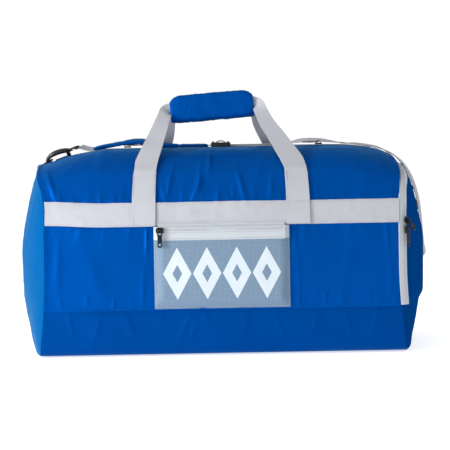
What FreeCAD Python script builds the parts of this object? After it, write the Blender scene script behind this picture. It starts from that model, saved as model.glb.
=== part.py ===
# Large soft duffel bag, millimetres. +X to the wearer's right along the bag, front toward -Y, +Z up.
# Origin: centre of the flat base.
import FreeCAD, Part
import os, math

V = FreeCAD.Vector
os.makedirs("parts", exist_ok=True)

# ---------------------------------------------------------------- driving dimensions
WALL = 2.5            # fabric with its lining
WEB_T = 1.6           # webbing thickness
WEB_W = 38.0          # webbing width
SEAM_Z = 75.0         # seam between the base tray and the front and rear panels
BAND_Z0, BAND_Z1 = 211.0, 249.0
HANDLE_X = 125.0      # centre of each handle leg
POCKET_X = 109.5      # half width of the mesh pocket
POCKET_TOP = 189.0    # top of the mesh
POCKET_ZIP_Z = 205.0
LIP_X = 262.0         # half length of the opening front top flap
STRAP_Y = 41.0        # centre line of the shoulder strap on the top
STRAP_ZL, STRAP_ZU = 341.9, 344.3   # centre heights of the strap's two layers on the top
GRIP_C = V(-13.2, 0, 411)
GRIP_L, GRIP_H, GRIP_D, GRIP_W = 144.0, 46.0, 16.0, 5.0
GRIP_TILT = 4.0
PIVOT_Y, PIVOT_Z = -120.4, 301.1    # line the handle legs fold about
CREST = [(-309, 315), (-284, 321.5), (-262, 329), (-239, 334), (-210, 338.5), (-195, 341), (190, 341),
         (227, 339.5), (252, 336), (268, 333), (283, 327), (300, 319), (309, 313)]
# section from the base's middle up to the zip, front half: (y, z)
PROFILE = [(0, 0), (-65, 0), (-125, 0), (-143, 8), (-150, 30), (-154, 75), (-155.5, 130), (-154, 175), (-151, 211),
           (-147.5, 230), (-142, 249), (-132, 275), (-117, 298), (-90, 319), (-60, 332), (-30, 339), (-14, 340.6)]
REAR = dict(enumerate(PROFILE))
REAR[14], REAR[15], REAR[16] = (-60, 329.5), (-30, 335), (-14, 339.6)   # pressed down by the strap
SEAM_X = [(0, 299), (75, 290), (140, 287), (230, 287), (275, 292), (298, 299), (319, 305), (341, 309)]
BULGE = [(0, 28), (30, 40), (75, 50), (120, 55), (180, 55), (230, 47), (275, 33), (298, 22), (319, 10), (341, 2)]


def lerp(table, v):
    if v <= table[0][0]:
        return table[0][1]
    for (a, fa), (b, fb) in zip(table, table[1:]):
        if v <= b:
            return fa + (fb - fa) * (v - a) / (b - a)
    return table[-1][1]


def half_width(z):
    pts = [(q[1], -q[0]) for q in PROFILE[2:]]
    return lerp(pts, z)


def lift(x, z):
    # the section gets lower towards the ends
    return z if z < 250 else 250 + (z - 250) * (lerp(CREST, x) - 250) / 91.0


def end_x(y, z):
    t = min(1.0, abs(y) / max(half_width(z), 1.0))
    return lerp(SEAM_X, z) + lerp(BULGE, z) * (1 - t * t)


# ---------------------------------------------------------------- solid helpers
def solid(tris):
    faces = []
    for a, b, c in tris:
        if (b - a).cross(c - a).Length > 1e-5:
            faces.append(Part.Face(Part.makePolygon([a, b, c, a])))
    s = Part.Solid(Part.Shell(faces))
    if s.Volume < 0:
        s.reverse()
    return s


def grid(outer, inner):
    """closed solid between two grids of points"""
    n, m = len(outer), len(outer[0])
    t = []
    for g, f in ((outer, False), (inner, True)):
        for i in range(n - 1):
            for j in range(m - 1):
                a, b, c, d = g[i][j], g[i + 1][j], g[i + 1][j + 1], g[i][j + 1]
                for tri in ((a, b, c), (a, c, d)):
                    t.append(tuple(reversed(tri)) if f else tri)

    def rim(p, q, flip):
        for k in range(len(p) - 1):
            for tri in ((p[k], q[k], q[k + 1]), (p[k], q[k + 1], p[k + 1])):
                t.append(tuple(reversed(tri)) if flip else tri)
    rim([r[0] for r in outer], [r[0] for r in inner], True)
    rim([r[-1] for r in outer], [r[-1] for r in inner], False)
    rim(outer[0], inner[0], False)
    rim(outer[-1], inner[-1], True)
    return solid(t)


def strip(path, half_w, t, wdir, closed=False):
    """flat bar or webbing along a path; wdir is its width direction at each point"""
    n = len(path)
    path = [V(*p) if not isinstance(p, V) else p for p in path]
    hw = half_w if isinstance(half_w, (list, tuple)) else [half_w] * n
    wd = wdir if isinstance(wdir, list) else [wdir] * n
    rows = []
    for k in range(n):
        if closed:
            tan = path[(k + 1) % n] - path[k - 1]
            a, b = path[k] - path[k - 1], path[(k + 1) % n] - path[k]
        else:
            tan = path[min(k + 1, n - 1)] - path[max(k - 1, 0)]
            a, b = path[k] - path[max(k - 1, 0)], path[min(k + 1, n - 1)] - path[k]
        tan.normalize()
        w = V(wd[k])
        w = w - tan * w.dot(tan)
        w.normalize()
        nrm = tan.cross(w)
        nrm.normalize()
        mit = 1.0
        if a.Length > 1e-6 and b.Length > 1e-6:
            c = max(0.5, math.cos(a.getAngle(b) / 2))
            mit = 1.0 / c
        rows.append([path[k] - w * hw[k] + nrm * (t / 2 * mit), path[k] + w * hw[k] + nrm * (t / 2 * mit),
                     path[k] + w * hw[k] - nrm * (t / 2 * mit), path[k] - w * hw[k] - nrm * (t / 2 * mit)])
    tris = []
    last = n if closed else n - 1
    for k in range(last):
        r, s = rows[k], rows[(k + 1) % n]
        for j in range(4):
            a, b, c, d = r[j], r[(j + 1) % 4], s[(j + 1) % 4], s[j]
            tris += [(a, c, b), (a, d, c)]
    if not closed:
        r, s = rows[0], rows[-1]
        tris += [(r[0], r[1], r[2]), (r[0], r[2], r[3]), (s[0], s[2], s[1]), (s[0], s[3], s[2])]
    return solid(tris)


def box(x0, x1, y0, y1, z0, z1):
    return Part.makeBox(x1 - x0, y1 - y0, z1 - z0, V(x0, y0, z0))


def place(shape, origin, ex, ez):
    """put a shape drawn in its own frame: ex is its x axis, ez its z axis"""
    ex, ez = V(*ex), V(*ez)
    ex.normalize()
    ez = ez - ex * ez.dot(ex)
    ez.normalize()
    ey = ez.cross(ex)
    m = FreeCAD.Matrix(ex.x, ey.x, ez.x, origin[0], ex.y, ey.y, ez.y, origin[1], ex.z, ey.z, ez.z, origin[2], 0, 0, 0, 1)
    s = shape.copy()
    s.transformShape(m, True)
    return s


NODES = {}


def out(name, *shapes):
    s = shapes[0] if len(shapes) == 1 else Part.makeCompound(list(shapes))
    NODES[name] = s
    s.exportStep("parts/%s.step" % name)


# ---------------------------------------------------------------- fabric panels
def skin(k, x, off, side, inset=0.0):
    """point k of the section at x, moved outward by off; side -1 front, +1 rear"""
    prof = PROFILE if side < 0 else REAR
    y, z = prof[k]
    y0, z0 = prof[max(k - 1, 0)]
    y1, z1 = prof[min(k + 1, len(PROFILE) - 1)]
    if k <= 1:
        ny, nz = 0.0, -1.0
    else:
        l = math.hypot(y1 - y0, z1 - z0)
        ny, nz = -(z1 - z0) / l, (y1 - y0) / l
        if k == 2:
            ny, nz = -0.28, -0.96
    if k >= len(PROFILE) - 1:
        ny, nz = 0.0, 1.0
    yy = (y + ny * off)
    zz = lift(x, z) + nz * off
    return V(x, yy * (1 if side < 0 else -1), zz)


def xs_between(k, side, x0, x1, n, in0=0.0, in1=0.0):
    return [x0 + (x1 - x0) * i / (n - 1) for i in range(n)]


FR = [0.0, 0.04, 0.1, 0.2, 0.35, 0.5, 0.65, 0.8, 0.9, 0.96, 1.0]


def panel(ks, side, off0=-WALL, off1=0.0, x0=None, x1=None):
    prof = PROFILE if side < 0 else REAR
    o, i = [], []
    for k in ks:
        y, z = prof[k]
        a = -(end_x(y, z) - WALL - 0.6) if x0 is None else x0
        b = (end_x(y, z) - WALL - 0.6 if z < 74 else lerp(SEAM_X, z) - 0.2) if x1 is None else x1
        o.append([skin(k, a + (b - a) * f, off1, side) for f in FR])
        i.append([skin(k, a + (b - a) * f, off0, side) for f in FR])
    return grid(o, i)


def tray():
    o, i = [], []
    seq = [(k, -1) for k in (5, 4, 3, 2, 1, 0)] + [(k, 1) for k in (1, 2, 3, 4, 5)]
    for k, s in seq:
        y, z = PROFILE[k]
        b = end_x(y, z) - WALL - 0.6
        if k == 5:
            b = lerp(SEAM_X, z) - 0.2 - 2.9
        o.append([skin(k, -b + 2 * b * f, 0.0, s) for f in FR])
        i.append([skin(k, -b + 2 * b * f, -WALL, s) for f in FR])
    return grid(o, i)


out("bottom_panel", tray())


def shift_up(ks, side):
    return panel(ks, side)


# front and rear panels start just above the tray's seam
PROFILE_SAVE = PROFILE[5]
def seam_panel(side):
    prof = PROFILE if side < 0 else REAR
    o, i = [], []
    for k in range(5, 13):
        y, z = prof[k]
        a = -(lerp(SEAM_X, z) - WALL - 0.6)
        b = lerp(SEAM_X, z) - 0.3
        if k == 5:
            b = lerp(SEAM_X, z) - 0.3 - 2.9
        ro = [skin(k, a + (b - a) * f, 0.0, side) for f in FR]
        ri = [skin(k, a + (b - a) * f, -WALL, side) for f in FR]
        if k == 5:
            ro = [p + V(0, 0, 0.1) for p in ro]
            ri = [p + V(0, 0, 0.1) for p in ri]
        o.append(ro)
        i.append(ri)
    return grid(o, i)


out("front_panel", seam_panel(-1))
out("rear_panel", seam_panel(1))


# end panels: rows up the end, each crowned outwards
TS = [-1, -0.87, -0.62, -0.32, 0, 0.32, 0.62, 0.87, 1]


def end_row(z, sgn, inset, dx, ts=TS):
    w = half_width(z) - inset
    xe = lerp(SEAM_X, z)
    r = []
    for t in ts:
        x = xe + lerp(BULGE, z) * (1 - t * t) - dx
        r.append(V(sgn * x, t * w, lift(sgn * 309, z)))
    return r


ZL = [0, 8, 30, 75, 120, 165, 211, 249, 275, 298, 317, 331, 338]
out("left_end_panel", grid([end_row(z, -1, 0, 0) for z in ZL], [end_row(z, -1, 0, WALL) for z in ZL]))
ZB = [0, 8, 30, 74]
out("right_end_lower_panel", grid([end_row(z, 1, 0, 0) for z in ZB], [end_row(z, 1, 0, WALL) for z in ZB]))

# right end: upright panel inside the zip, with a corner that folds out about a diagonal
INS = 9.0       # the zip's rounded edge takes this much off the outline
RUN = 12.0      # and this much along x


def inner_outline():
    # the outline stepped in by the zip's width, along its own normal
    t = []
    for k in range(3, len(PROFILE)):
        y, z = PROFILE[k]
        y0, z0 = PROFILE[k - 1]
        y1, z1 = PROFILE[min(k + 1, len(PROFILE) - 1)]
        l = math.hypot(y1 - y0, z1 - z0)
        ny, nz = -(z1 - z0) / l, (y1 - y0) / l
        if k <= 6:
            ny, nz = -1.0, 0.0
        t.append((z - nz * (INS + 1.2), -(y - ny * (INS + 1.2))))
    return t


INNER = inner_outline()


def half_in(z):
    return lerp(INNER, z)


def end_pt(y, z, dx):
    w = half_in(z)
    t = min(1.0, abs(y) / w)
    return V(lerp(SEAM_X, z) + RUN + (lerp(BULGE, z) - 8) * (1 - t * t) - dx, y, lift(309, z) if z >= 250 else z)


DIAG0 = (-half_in(84) + 4, 84.0)     # y, z of the fold's lower end
DIAG1 = (-8.0, 325.0)                           # and of its upper end


def diag_y(z):
    f = (z - DIAG0[1]) / (DIAG1[1] - DIAG0[1])
    return DIAG0[0] + (DIAG1[0] - DIAG0[0]) * f


ZR = [84, 100, 120, 165, 211, 249, 275, 298, 312, 324]
rows_o, rows_i, flap_o, flap_i = [], [], [], []
for z in ZR:
    w = half_in(z)
    yd = diag_y(z)
    ys = [yd + 3.0 + (w - yd - 3.0) * f for f in (0, .15, .3, .45, .6, .75, .9, 1)]
    rows_o.append([end_pt(y, z, 0) for y in ys])
    rows_i.append([end_pt(y, z, WALL) for y in ys])
    yf = [-w + (yd - 3.0 + w) * f for f in (0, .25, .5, .75, 1)]
    if yd - 3.0 + w > 0.8:
        flap_o.append([end_pt(y, z, 0) for y in yf])
        flap_i.append([end_pt(y, z, WALL) for y in yf])
out("right_end_panel", grid(rows_o, rows_i))
out("end_flap", grid(flap_o, flap_i))
# strip of fabric that joins the upright panel to the base tray's end
zz0, zz1 = 76.0, 83.5
w0 = half_width(78) - 1
rows = []
for dx in (0, WALL):
    rows.append([[end_pt(t * half_in(zz0), zz0, dx) for t in TS], [end_pt(t * half_in(zz1), zz1, dx) for t in TS]])
out("end_flap_hinge_strip", grid(rows[0], rows[1]))


# the end zip follows the outline: outer tape, teeth, inner tape
def rim_pt(k, side, phi, off):
    prof = PROFILE
    y, z = prof[k]
    y0, z0 = prof[max(k - 1, 0)]
    y1, z1 = prof[min(k + 1, len(prof) - 1)]
    l = math.hypot(y1 - y0, z1 - z0)
    ny, nz = -(z1 - z0) / l, (y1 - y0) / l
    if k == len(prof) - 1:
        ny, nz = 0.0, 1.0
    if k <= 6:
        ny, nz = -1.0, 0.0
    a = math.radians(phi)
    ins = INS * (1 - math.cos(a)) - off * math.cos(a)
    x = lerp(SEAM_X, z) + RUN * math.sin(a) + off * math.sin(a)
    zl = lift(309, z)
    return V(x, side * -(y - ny * ins), zl - nz * ins)


def rim_band(phis, ks_front, ks_rear, off0=-0.6, off1=0.6, z_low=84.0):
    seq = [(k, -1) for k in ks_front] + [(k, 1) for k in ks_rear]
    o, i = [], []
    for k, s in seq:
        ro = [rim_pt(k, s, p, off1) for p in phis]
        ri = [rim_pt(k, s, p, off0) for p in phis]
        if k == 5:      # the zip ends just above the base tray
            for r in (ro, ri):
                for p in r:
                    p.z = z_low
        o.append(ro)
        i.append(ri)
    return grid(o, i)


up = [5, 6, 7, 8, 9, 10, 11, 12, 13, 14, 15, 16]
out("end_zip_outer_tape", rim_band([2, 12, 22, 32, 41], up, up[::-1]))
out("end_zip_teeth", rim_band([42, 46.5], up, up[::-1], -0.9, 0.9))
out("end_zip_inner_tape_front", rim_band([51, 60, 70, 80], up[:-2], [], -0.6, 0.6))
out("end_zip_inner_tape_rear", rim_band([51, 60, 70, 80], [], up[::-1], -0.6, 0.6))

# ---------------------------------------------------------------- top of the bag


def top_grid(ks, side, x0, x1, start=0.0, n=9, off0=-WALL, off1=0.0):
    prof = PROFILE if side < 0 else REAR
    o, i = [], []
    for k in ks:
        xx = [x0 + (x1 - x0) * j / (n - 1) for j in range(n)]
        if x0 is None:
            pass
        ro = [skin(k, x, off1, side) for x in xx]
        ri = [skin(k, x, off0, side) for x in xx]
        if k == 12 and start:
            ty, tz = 0.72 * start * (1 if side < 0 else -1), 0.69 * start
            ro = [p + V(0, ty, tz) for p in ro]
            ri = [p + V(0, ty, tz) for p in ri]
        o.append(ro)
        i.append(ri)
    return grid(o, i)


out("front_top_flap", top_grid(range(12, 17), -1, -LIP_X, LIP_X, start=1.3, n=15))


def top_corner(side, sgn, x_in):
    o, i = [], []
    for k in range(12, 17):
        y, z = (PROFILE if side < 0 else REAR)[k]
        xe = lerp(SEAM_X, z) - (WALL + 0.6 if sgn < 0 else 0.3)
        xx = [sgn * (x_in + (xe - x_in) * f) for f in (0, .35, .7, 1)]
        ro = [skin(k, x, 0.0, side) for x in xx]
        ri = [skin(k, x, -WALL, side) for x in xx]
        if k == 12:
            ro = [p + V(0, 0.1, 0.1) for p in ro]
            ri = [p + V(0, 0.1, 0.1) for p in ri]
        o.append(ro)
        i.append(ri)
    return grid(o, i)




def zip_end(sgn):
    # closes the top past each end of the zip, under the strap
    o, i = [], []
    for y, z in ((-13.9, 340.6), (0, 340.4), (13.9, 339.6)):
        xe = lerp(SEAM_X, 340) - (WALL + 0.6 if sgn < 0 else 0.3)
        xx = [sgn * (LIP_X + 0.6 + (xe - LIP_X - 0.6) * f) for f in (0, .35, .7, 1)]
        o.append([V(x, y, lift(x, z)) for x in xx])
        i.append([V(x, y, lift(x, z) - WALL) for x in xx])
    return grid(o, i)


out("front_top_corners", top_corner(-1, -1, LIP_X + 0.6), top_corner(-1, 1, LIP_X + 0.6), zip_end(-1), zip_end(1))


def rear_top():
    o, i = [], []
    for k in range(12, 17):
        y, z = REAR[k]
        a = -(lerp(SEAM_X, z) - WALL - 0.6)
        b = lerp(SEAM_X, z) - 0.3
        fr = [0, .03, .07, .12, .2, .35, .5, .65, .8, .88, .93, .97, 1]
        ro = [skin(k, a + (b - a) * f, 0.0, 1) for f in fr]
        ri = [skin(k, a + (b - a) * f, -WALL, 1) for f in fr]
        if k == 12:
            ro = [p + V(0, -0.1, 0.1) for p in ro]
            ri = [p + V(0, -0.1, 0.1) for p in ri]
        o.append(ro)
        i.append(ri)
    return grid(o, i)


out("rear_top_panel", rear_top())

# main zip: a tape and a row of teeth each side
ZX = [-262, -250, -239, -225, -210, -195, -100, 0, 100, 190, 208, 227, 240, 252, 262]


def zip_bar(y0, y1, h0, h1, x0=-262.0, x1=262.0):
    xs = [x for x in ZX if x0 <= x <= x1]
    o = [[V(x, y0, lift(x, 341) + h1), V(x, y1, lift(x, 341) + h1)] for x in xs]
    i = [[V(x, y0, lift(x, 341) + h0), V(x, y1, lift(x, 341) + h0)] for x in xs]
    return grid(o, i)


out("main_zip_front_tape", zip_bar(-13.8, -1.5, -1.2, -0.2))
out("main_zip_front_teeth", zip_bar(-1.45, -0.35, -1.5, 0.3))
out("main_zip_rear_teeth", zip_bar(0.35, 1.45, -1.5, 0.3))
out("main_zip_rear_tape", zip_bar(1.5, 13.8, -1.2, -0.2))

# ---------------------------------------------------------------- inside
out("base_board", box(-285, 282, -122, 122, 2.8, 5.8))
DIV_X = 205.0
pts = []
for k in range(3, 14):
    y, z = PROFILE[k]
    pts.append((y + 6.0, z - 6.5 if k > 9 else z + 0.3))
ring = [V(DIV_X, y, z) for y, z in pts] + [V(DIV_X, -y, z) for y, z in reversed(pts)]
wire = Part.makePolygon(ring + [ring[0]])
out("end_pocket_divider", Part.Face(wire).extrude(V(1.5, 0, 0)))

# ---------------------------------------------------------------- webbing sewn on
def band(side):
    o, i = [], []
    for k in (8, 9, 10):
        z = PROFILE[k][1]
        a, b = -(lerp(SEAM_X, z) - 3.0), lerp(SEAM_X, z) - 0.4
        o.append([skin(k, a + (b - a) * f, 1.6, side) for f in FR])
        i.append([skin(k, a + (b - a) * f, 0.1, side) for f in FR])
    return grid(o, i)


out("front_band", band(-1))
out("rear_band", band(1))


def sewn_leg(side, xc):
    o, i = [], []
    for k in (8, 9, 10, 11, 12):
        xx = [xc - WEB_W / 2, xc + WEB_W / 2]
        ro = [skin(k, x, 3.3, side) for x in xx]
        ri = [skin(k, x, 1.75, side) for x in xx]
        if k == 12:
            d = 3.0
            s = 1 if side < 0 else -1
            ro = [p + V(0, -0.6 * d * s, -0.8 * d) for p in ro]
            ri = [p + V(0, -0.6 * d * s, -0.8 * d) for p in ri]
        o.append(ro)
        i.append(ri)
    return grid(o, i)


out("front_handle_sewn_legs", sewn_leg(-1, -HANDLE_X), sewn_leg(-1, HANDLE_X))
out("rear_handle_sewn_legs", sewn_leg(1, -HANDLE_X), sewn_leg(1, HANDLE_X))


# ---------------------------------------------------------------- handles
def tilt(x):
    return (x - GRIP_C.x) * math.tan(math.radians(GRIP_TILT))


def handle(side):
    s = side
    left = [(-125, 120.4, 301.1), (-125, 116.9, 304.6), (-121, 104, 317), (-114.5, 85, 336), (-107, 63, 357), (-100, 42, 377), (-94.5, 22, 394), (-89.5, 8.6, 404.5)]
    right = [(125, 120.4, 301.1), (125, 116.9, 304.6), (118, 104, 317), (107, 85, 336), (94, 63, 358), (80, 42, 380), (71, 22, 400), (64, 8.6, 413.5)]
    mid = [(x, 7.5, 411 + tilt(x)) for x in (-68, -40, -13, 15, 42)]
    path = left + mid + right[::-1]
    path = [V(x, s * y, z) for x, y, z in path]
    n = V(0, -0.71, 0.705) if s < 0 else V(0, 0.71, 0.705)
    wd, hw = [], []
    for k, p in enumerate(path):
        tan = path[min(k + 1, len(path) - 1)] - path[max(k - 1, 0)]
        tan.normalize()
        nn = V(n)
        if 6 < k < len(path) - 7:
            nn = V(0, -1 if s < 0 else 1, 0)
        elif k in (6, len(path) - 7):
            nn = V(0, -0.9 if s < 0 else 0.9, 0.43)
        w = nn.cross(tan)
        w.normalize()
        if k in (0, len(path) - 1):
            w = V(-1, 0, 0) if k == 0 else V(1, 0, 0)
        if s > 0:
            pass
        wd.append(w)
        e = min(k, len(path) - 1 - k)
        hw.append([19, 19, 18.5, 17, 15, 13, 11.5, 11][e] if e < 8 else 11)
    # keep the width direction from flipping along the arch
    for k in range(1, len(wd)):
        if wd[k].dot(wd[k - 1]) < 0:
            wd[k] = -wd[k]
    return strip(path, hw, WEB_T, wd)


out("front_handle_webbing", handle(-1))
out("rear_handle_webbing", handle(1))


def leaf(side):
    h, d, w = GRIP_H / 2, GRIP_D, GRIP_W
    pts = [(0.4, h), (d - 6, h), (d, h - 7), (d, -h + 7), (d - 6, -h), (0.4, -h), (0.4, -h + w), (d - w - 3, -h + w),
           (d - w, -h + w + 4), (d - w, h - w - 4), (d - w - 3, h - w), (0.4, h - w)]
    poly = [V(-GRIP_L / 2, side * y, z) for y, z in pts]
    s = Part.Face(Part.makePolygon(poly + [poly[0]])).extrude(V(GRIP_L, 0, 0))
    s.rotate(V(0, 0, 0), V(0, 1, 0), -GRIP_TILT)
    s.translate(GRIP_C)
    return s


out("grip_front_leaf", leaf(-1))
out("grip_rear_leaf", leaf(1))


def leaf_tape(side):
    y0, y1 = (-7.4, -1.0) if side < 0 else (1.0, 7.4)
    s = box(-GRIP_L / 2 + 6, GRIP_L / 2 - 6, y0, y1, 16.6, 17.6)
    s.rotate(V(0, 0, 0), V(0, 1, 0), -GRIP_TILT)
    s.translate(GRIP_C)
    return s


out("grip_hook_tape", leaf_tape(-1))
out("grip_loop_tape", leaf_tape(1))

# ---------------------------------------------------------------- front pocket
def face_y(z):
    pr = [(q[1], q[0]) for q in PROFILE[5:11]]
    return lerp(pr, z)


MZ = [77.5, 84, 100, 130, 160, 180, POCKET_TOP]
MX = [-1, -0.95, -0.8, -0.5, 0, 0.5, 0.8, 0.95, 1]


def mesh_off(x, z):
    e = min(1.0, (1 - abs(x)) * 5.0)
    b = min(1.0, (z - 77.5) / 22.0)
    return 0.2 + 8.0 * math.sin(math.pi / 2 * e) * math.sin(math.pi / 2 * b)


def cover(x0, x1, zs, offs, t, y_edge=0.0):
    o = [[V(x, face_y(z) - f(x, z) - t, z) for x in (x0, x1)] for z, f in zip(zs, offs)]
    i = [[V(x, face_y(z) - f(x, z), z) for x in (x0, x1)] for z, f in zip(zs, offs)]
    return grid(o, i)


o = [[V(x * POCKET_X, face_y(z) - mesh_off(x, z) - 1.2, z) for x in MX] for z in MZ]
i = [[V(x * POCKET_X, face_y(z) - mesh_off(x, z), z) for x in MX] for z in MZ]
out("pocket_mesh", grid(o, i))
# zip tapes stand over the mouth; the lower one is sewn to the mesh, the upper one to the band's edge
TY = face_y(POCKET_TOP) - 8.2
o = [[V(x * POCKET_X, TY - 1.2, z) for x in (-0.93, 0.93)] for z in (POCKET_TOP + 0.1, 203.9)]
i = [[V(x * POCKET_X, TY, z) for x in (-0.93, 0.93)] for z in (POCKET_TOP + 0.1, 203.9)]
out("pocket_zip_lower_tape", grid(o, i))
out("pocket_zip_teeth", box(-POCKET_X * 0.93, POCKET_X * 0.93, TY - 1.5, TY, 204.0, 206.0))
o = [[V(x * POCKET_X, y - 1.2, z) for x in (-0.93, 0.93)] for y, z in ((TY, 206.1), (TY + 1.5, 209.0), (face_y(211) - 1.9, 214.5))]
i = [[V(x * POCKET_X, y, z) for x in (-0.93, 0.93)] for y, z in ((TY, 206.1), (TY + 1.5, 209.0), (face_y(211) - 1.9, 214.5))]
upper_tape = grid(o, i)
ends = []
for sgn in (-1, 1):
    xx = [sgn * POCKET_X * f for f in (0.935, 1.0)]
    o = [[V(x, y, z) for x, y in zip(xx, (TY - 1.2, face_y(z) - 1.4))] for z in (POCKET_TOP + 0.1, 210.6)]
    i = [[V(x, y, z) for x, y in zip(xx, (TY, face_y(z) - 0.2))] for z in (POCKET_TOP + 0.1, 210.6)]
    ends.append(grid(o, i))
out("pocket_zip_upper_tape", upper_tape, *ends)

# ---------------------------------------------------------------- sliders and pullers
def slider_shape():
    base = box(-6, 6, -5, 5, 0, 2.4)
    base = base.fuse(box(-4.5, -3, -1, 1, 2.4, 7.2)).fuse(box(3, 4.5, -1, 1, 2.4, 7.2)).fuse(box(-3, 3, -1, 1, 5.9, 7.2))
    return base.removeSplitter()


def puller_shape(length=28.0):
    p = box(-0.9, length - 4.4, -4.4, 4.4, 3.25, 5.05).fuse(Part.makeCylinder(4.4, 1.8, V(length - 4.4, 0, 3.25)))
    p = p.cut(box(0.9, 7.2, -2.6, 2.6, 3, 5.3))
    p = p.cut(Part.makeCylinder(2.3, 3, V(length - 5.0, 0, 3)))
    return p.removeSplitter()


def slider_pair(name, origin, ex, ez, base_turn=False, length=28.0):
    out(name + "_slider", place(slider_shape(), origin, ex, ez))
    out(name + "_puller", place(puller_shape(length), origin, ex, ez))


ZTOP = lift(0, 341)
slider_pair("main_zip_left", (-160, -2.0, ZTOP + 0.75), (1, 0, 0), (0, 0, 1))
slider_pair("main_zip_right", (170, -2.0, ZTOP + 0.75), (-1, 0, 0), (0, 0, 1))
slider_pair("pocket_zip", (-99.0, TY - 2.1, 205.0), (0, 0, -1), (0, -1, 0))
# the two end sliders stand head to head on the straight front run of the end zip
def rim_at(z, phi, off):
    xe = lerp(SEAM_X, z)
    y = face_y(z)
    a = math.radians(phi)
    ins = INS * (1 - math.cos(a)) - off * math.cos(a)
    return V(xe + RUN * math.sin(a) + off * math.sin(a), y + ins, z)


EN = (0.70, -0.71, 0.0)
e_up = rim_at(188, 47, 3.5)
slider_pair("end_zip_upper", (e_up.x, e_up.y, 214.0), (0.547, 0.539, -0.64), EN, length=24.0)
slider_pair("end_zip_lower", (e_up.x, e_up.y, 199.0), (0, 0, -1), EN, length=28.0)

# ---------------------------------------------------------------- shoulder strap
W = V(0, 1, 0)
hw = WEB_W / 2
YS = STRAP_Y
out("strap_left_webbing", strip([(-245.6, YS, 346.0), (-238, YS, 343.6), (-229, YS, 341.4), (-222.6, YS, 340.6)], hw, WEB_T, W))
pad_path = [(-222, YS, 340.6), (-205, YS, 345), (-185, YS, 348.5), (-162, YS, 352.0), (-142, YS, 353.4), (-122, YS, 350.2),
            (-102, YS, 346.2), (-82, YS, 344.4), (-50, YS, 343.4), (-21, YS, 343.2)]
out("shoulder_pad", strip(pad_path, [20, 22, 22, 22, 22, 22, 22, 22, 22, 20], 8.0, W))
upper = [(-20.2, YS, STRAP_ZU), (60, YS, STRAP_ZU), (112, YS, STRAP_ZU + 0.4), (130, YS, 348), (150, YS, 350.8), (175, YS, 350.2),
         (200, YS, 347), (222, YS, 343.6), (246, YS + 1, 340.6), (268, YS + 2, 338.5), (287, YS + 2, 334.0), (302, YS + 3, 327.5), (313, YS + 4, 318.0),
         (323, YS + 5, 305), (334, YS + 6, 288), (342, YS + 6, 268), (348.5, YS + 6, 244), (352.5, YS + 6, 215), (354.5, YS + 6, 185), (356.5, YS + 6, 163),
         (359.0, YS + 6, 151), (358.5, YS + 6, 145.5), (355.0, YS + 6, 142.6), (351.0, YS + 7, 144.5), (349.0, YS + 12, 152), (347.5, YS + 20, 163), (347.8, YS + 29, 176), (348.4, YS + 33, 189), (349.2, YS + 33, 198.9)]
out("shoulder_strap_webbing", strip(upper, hw, WEB_T, W))
# the loose tail comes back out of the adjuster and lies under the strap
lower = [(-8.0, YS, STRAP_ZL), (60, YS, STRAP_ZL), (112, YS, STRAP_ZL), (150, YS, STRAP_ZL), (190, YS, STRAP_ZL - 0.2), (222, YS, 340.6), (244, YS + 1, 338.0), (262, YS + 2, 335.8)]
out("shoulder_strap_tail", strip(lower, hw, WEB_T, W))

# ladder adjuster: a frame around both layers
adj = box(-16, 18, YS - 24, YS + 24, 339.2, 348.6).cut(box(-17, 19, YS - 20, YS + 20, 340.6, 345.8))
adj = adj.cut(box(-9, -2, YS - 20, YS + 20, 345, 349)).cut(box(4, 11, YS - 20, YS + 20, 345, 349))
adj = adj.fuse(box(-14, -10.5, YS - 22, YS + 22, 348.6, 350.6)).fuse(box(12, 15.5, YS - 22, YS + 22, 348.6, 350.6)).removeSplitter()
out("strap_adjuster", adj)


# ---------------------------------------------------------------- snap hooks, drawn along +x from the swivel
def hook_shape():
    path = [(6.5, 0, 0), (12, 0, 3.5), (22, 0, 6.5), (34, 0, 6.0), (44, 0, 1.5), (49.5, 0, -5.5), (49.5, 0, -12), (44.5, 0, -16.5), (38.5, 0, -16.5)]
    arm = strip(path, 2.4, 5.0, V(0, 1, 0))
    neck = box(0.4, 8.0, -3.0, 3.0, -4.0, 3.0)
    lug = box(6.5, 13.5, -3.0, 3.0, -13.5, -3.0).cut(box(8.0, 14, -1.9, 1.9, -14, -3.1))
    return arm.fuse(neck).fuse(lug).removeSplitter()


def gate_shape():
    g = box(9.1, 36.0, -1.5, 1.5, -13.0, -10.0)
    return g


def eye_shape():
    ring = [(-0.3, 0, 0)]
    y = 22.0
    pts = [(-3.0, -y, 0), (-3.0, y, 0), (-12.0, y, 0), (-12.0, -y, 0)]
    frame = strip(pts, 1.9, 3.8, V(0, 0, 1), closed=True)
    return frame


def hook_set(name, origin, ex, ez, ez_eye):
    out(name + "_snap_hook", place(hook_shape(), origin, ex, ez))
    out(name + "_hook_gate", place(gate_shape(), origin, ex, ez))
    out(name + "_hook_eye", place(eye_shape(), origin, ex, ez_eye))


def d_ring(name, bar, up_dir, ydir=V(0, 1, 0), r=20.0):
    """bar centre, direction from the bar to the round side"""
    b, u = V(*bar), V(*up_dir)
    u.normalize()
    ring = []
    ring.append(b - ydir * r)
    ring.append(b + ydir * r)
    for a in (0, 22, 45, 68, 90, 112, 135, 158, 180):
        ar = math.radians(a)
        ring.append(b + ydir * (r * math.cos(ar)) + u * (5 + 19.0 * math.sin(ar)))
    n = ydir.cross(u)
    out(name, strip(ring, 1.7, 3.4, n, closed=True))


# left: the hook lies over the top left corner, turned so that its gate is down and to the rear
LH = (-260.4, YS, 342.0)
LX = (-0.945, 0.0, -0.327)
LZ = (-0.20, -0.70, 0.68)
hook_set("left", LH, LX, LZ, (0, 0, 1))
LY = YS + 4.8
d_ring("left_d_ring", (-317.2, LY, 310.6), (19.9, 0, 13.4))
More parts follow.
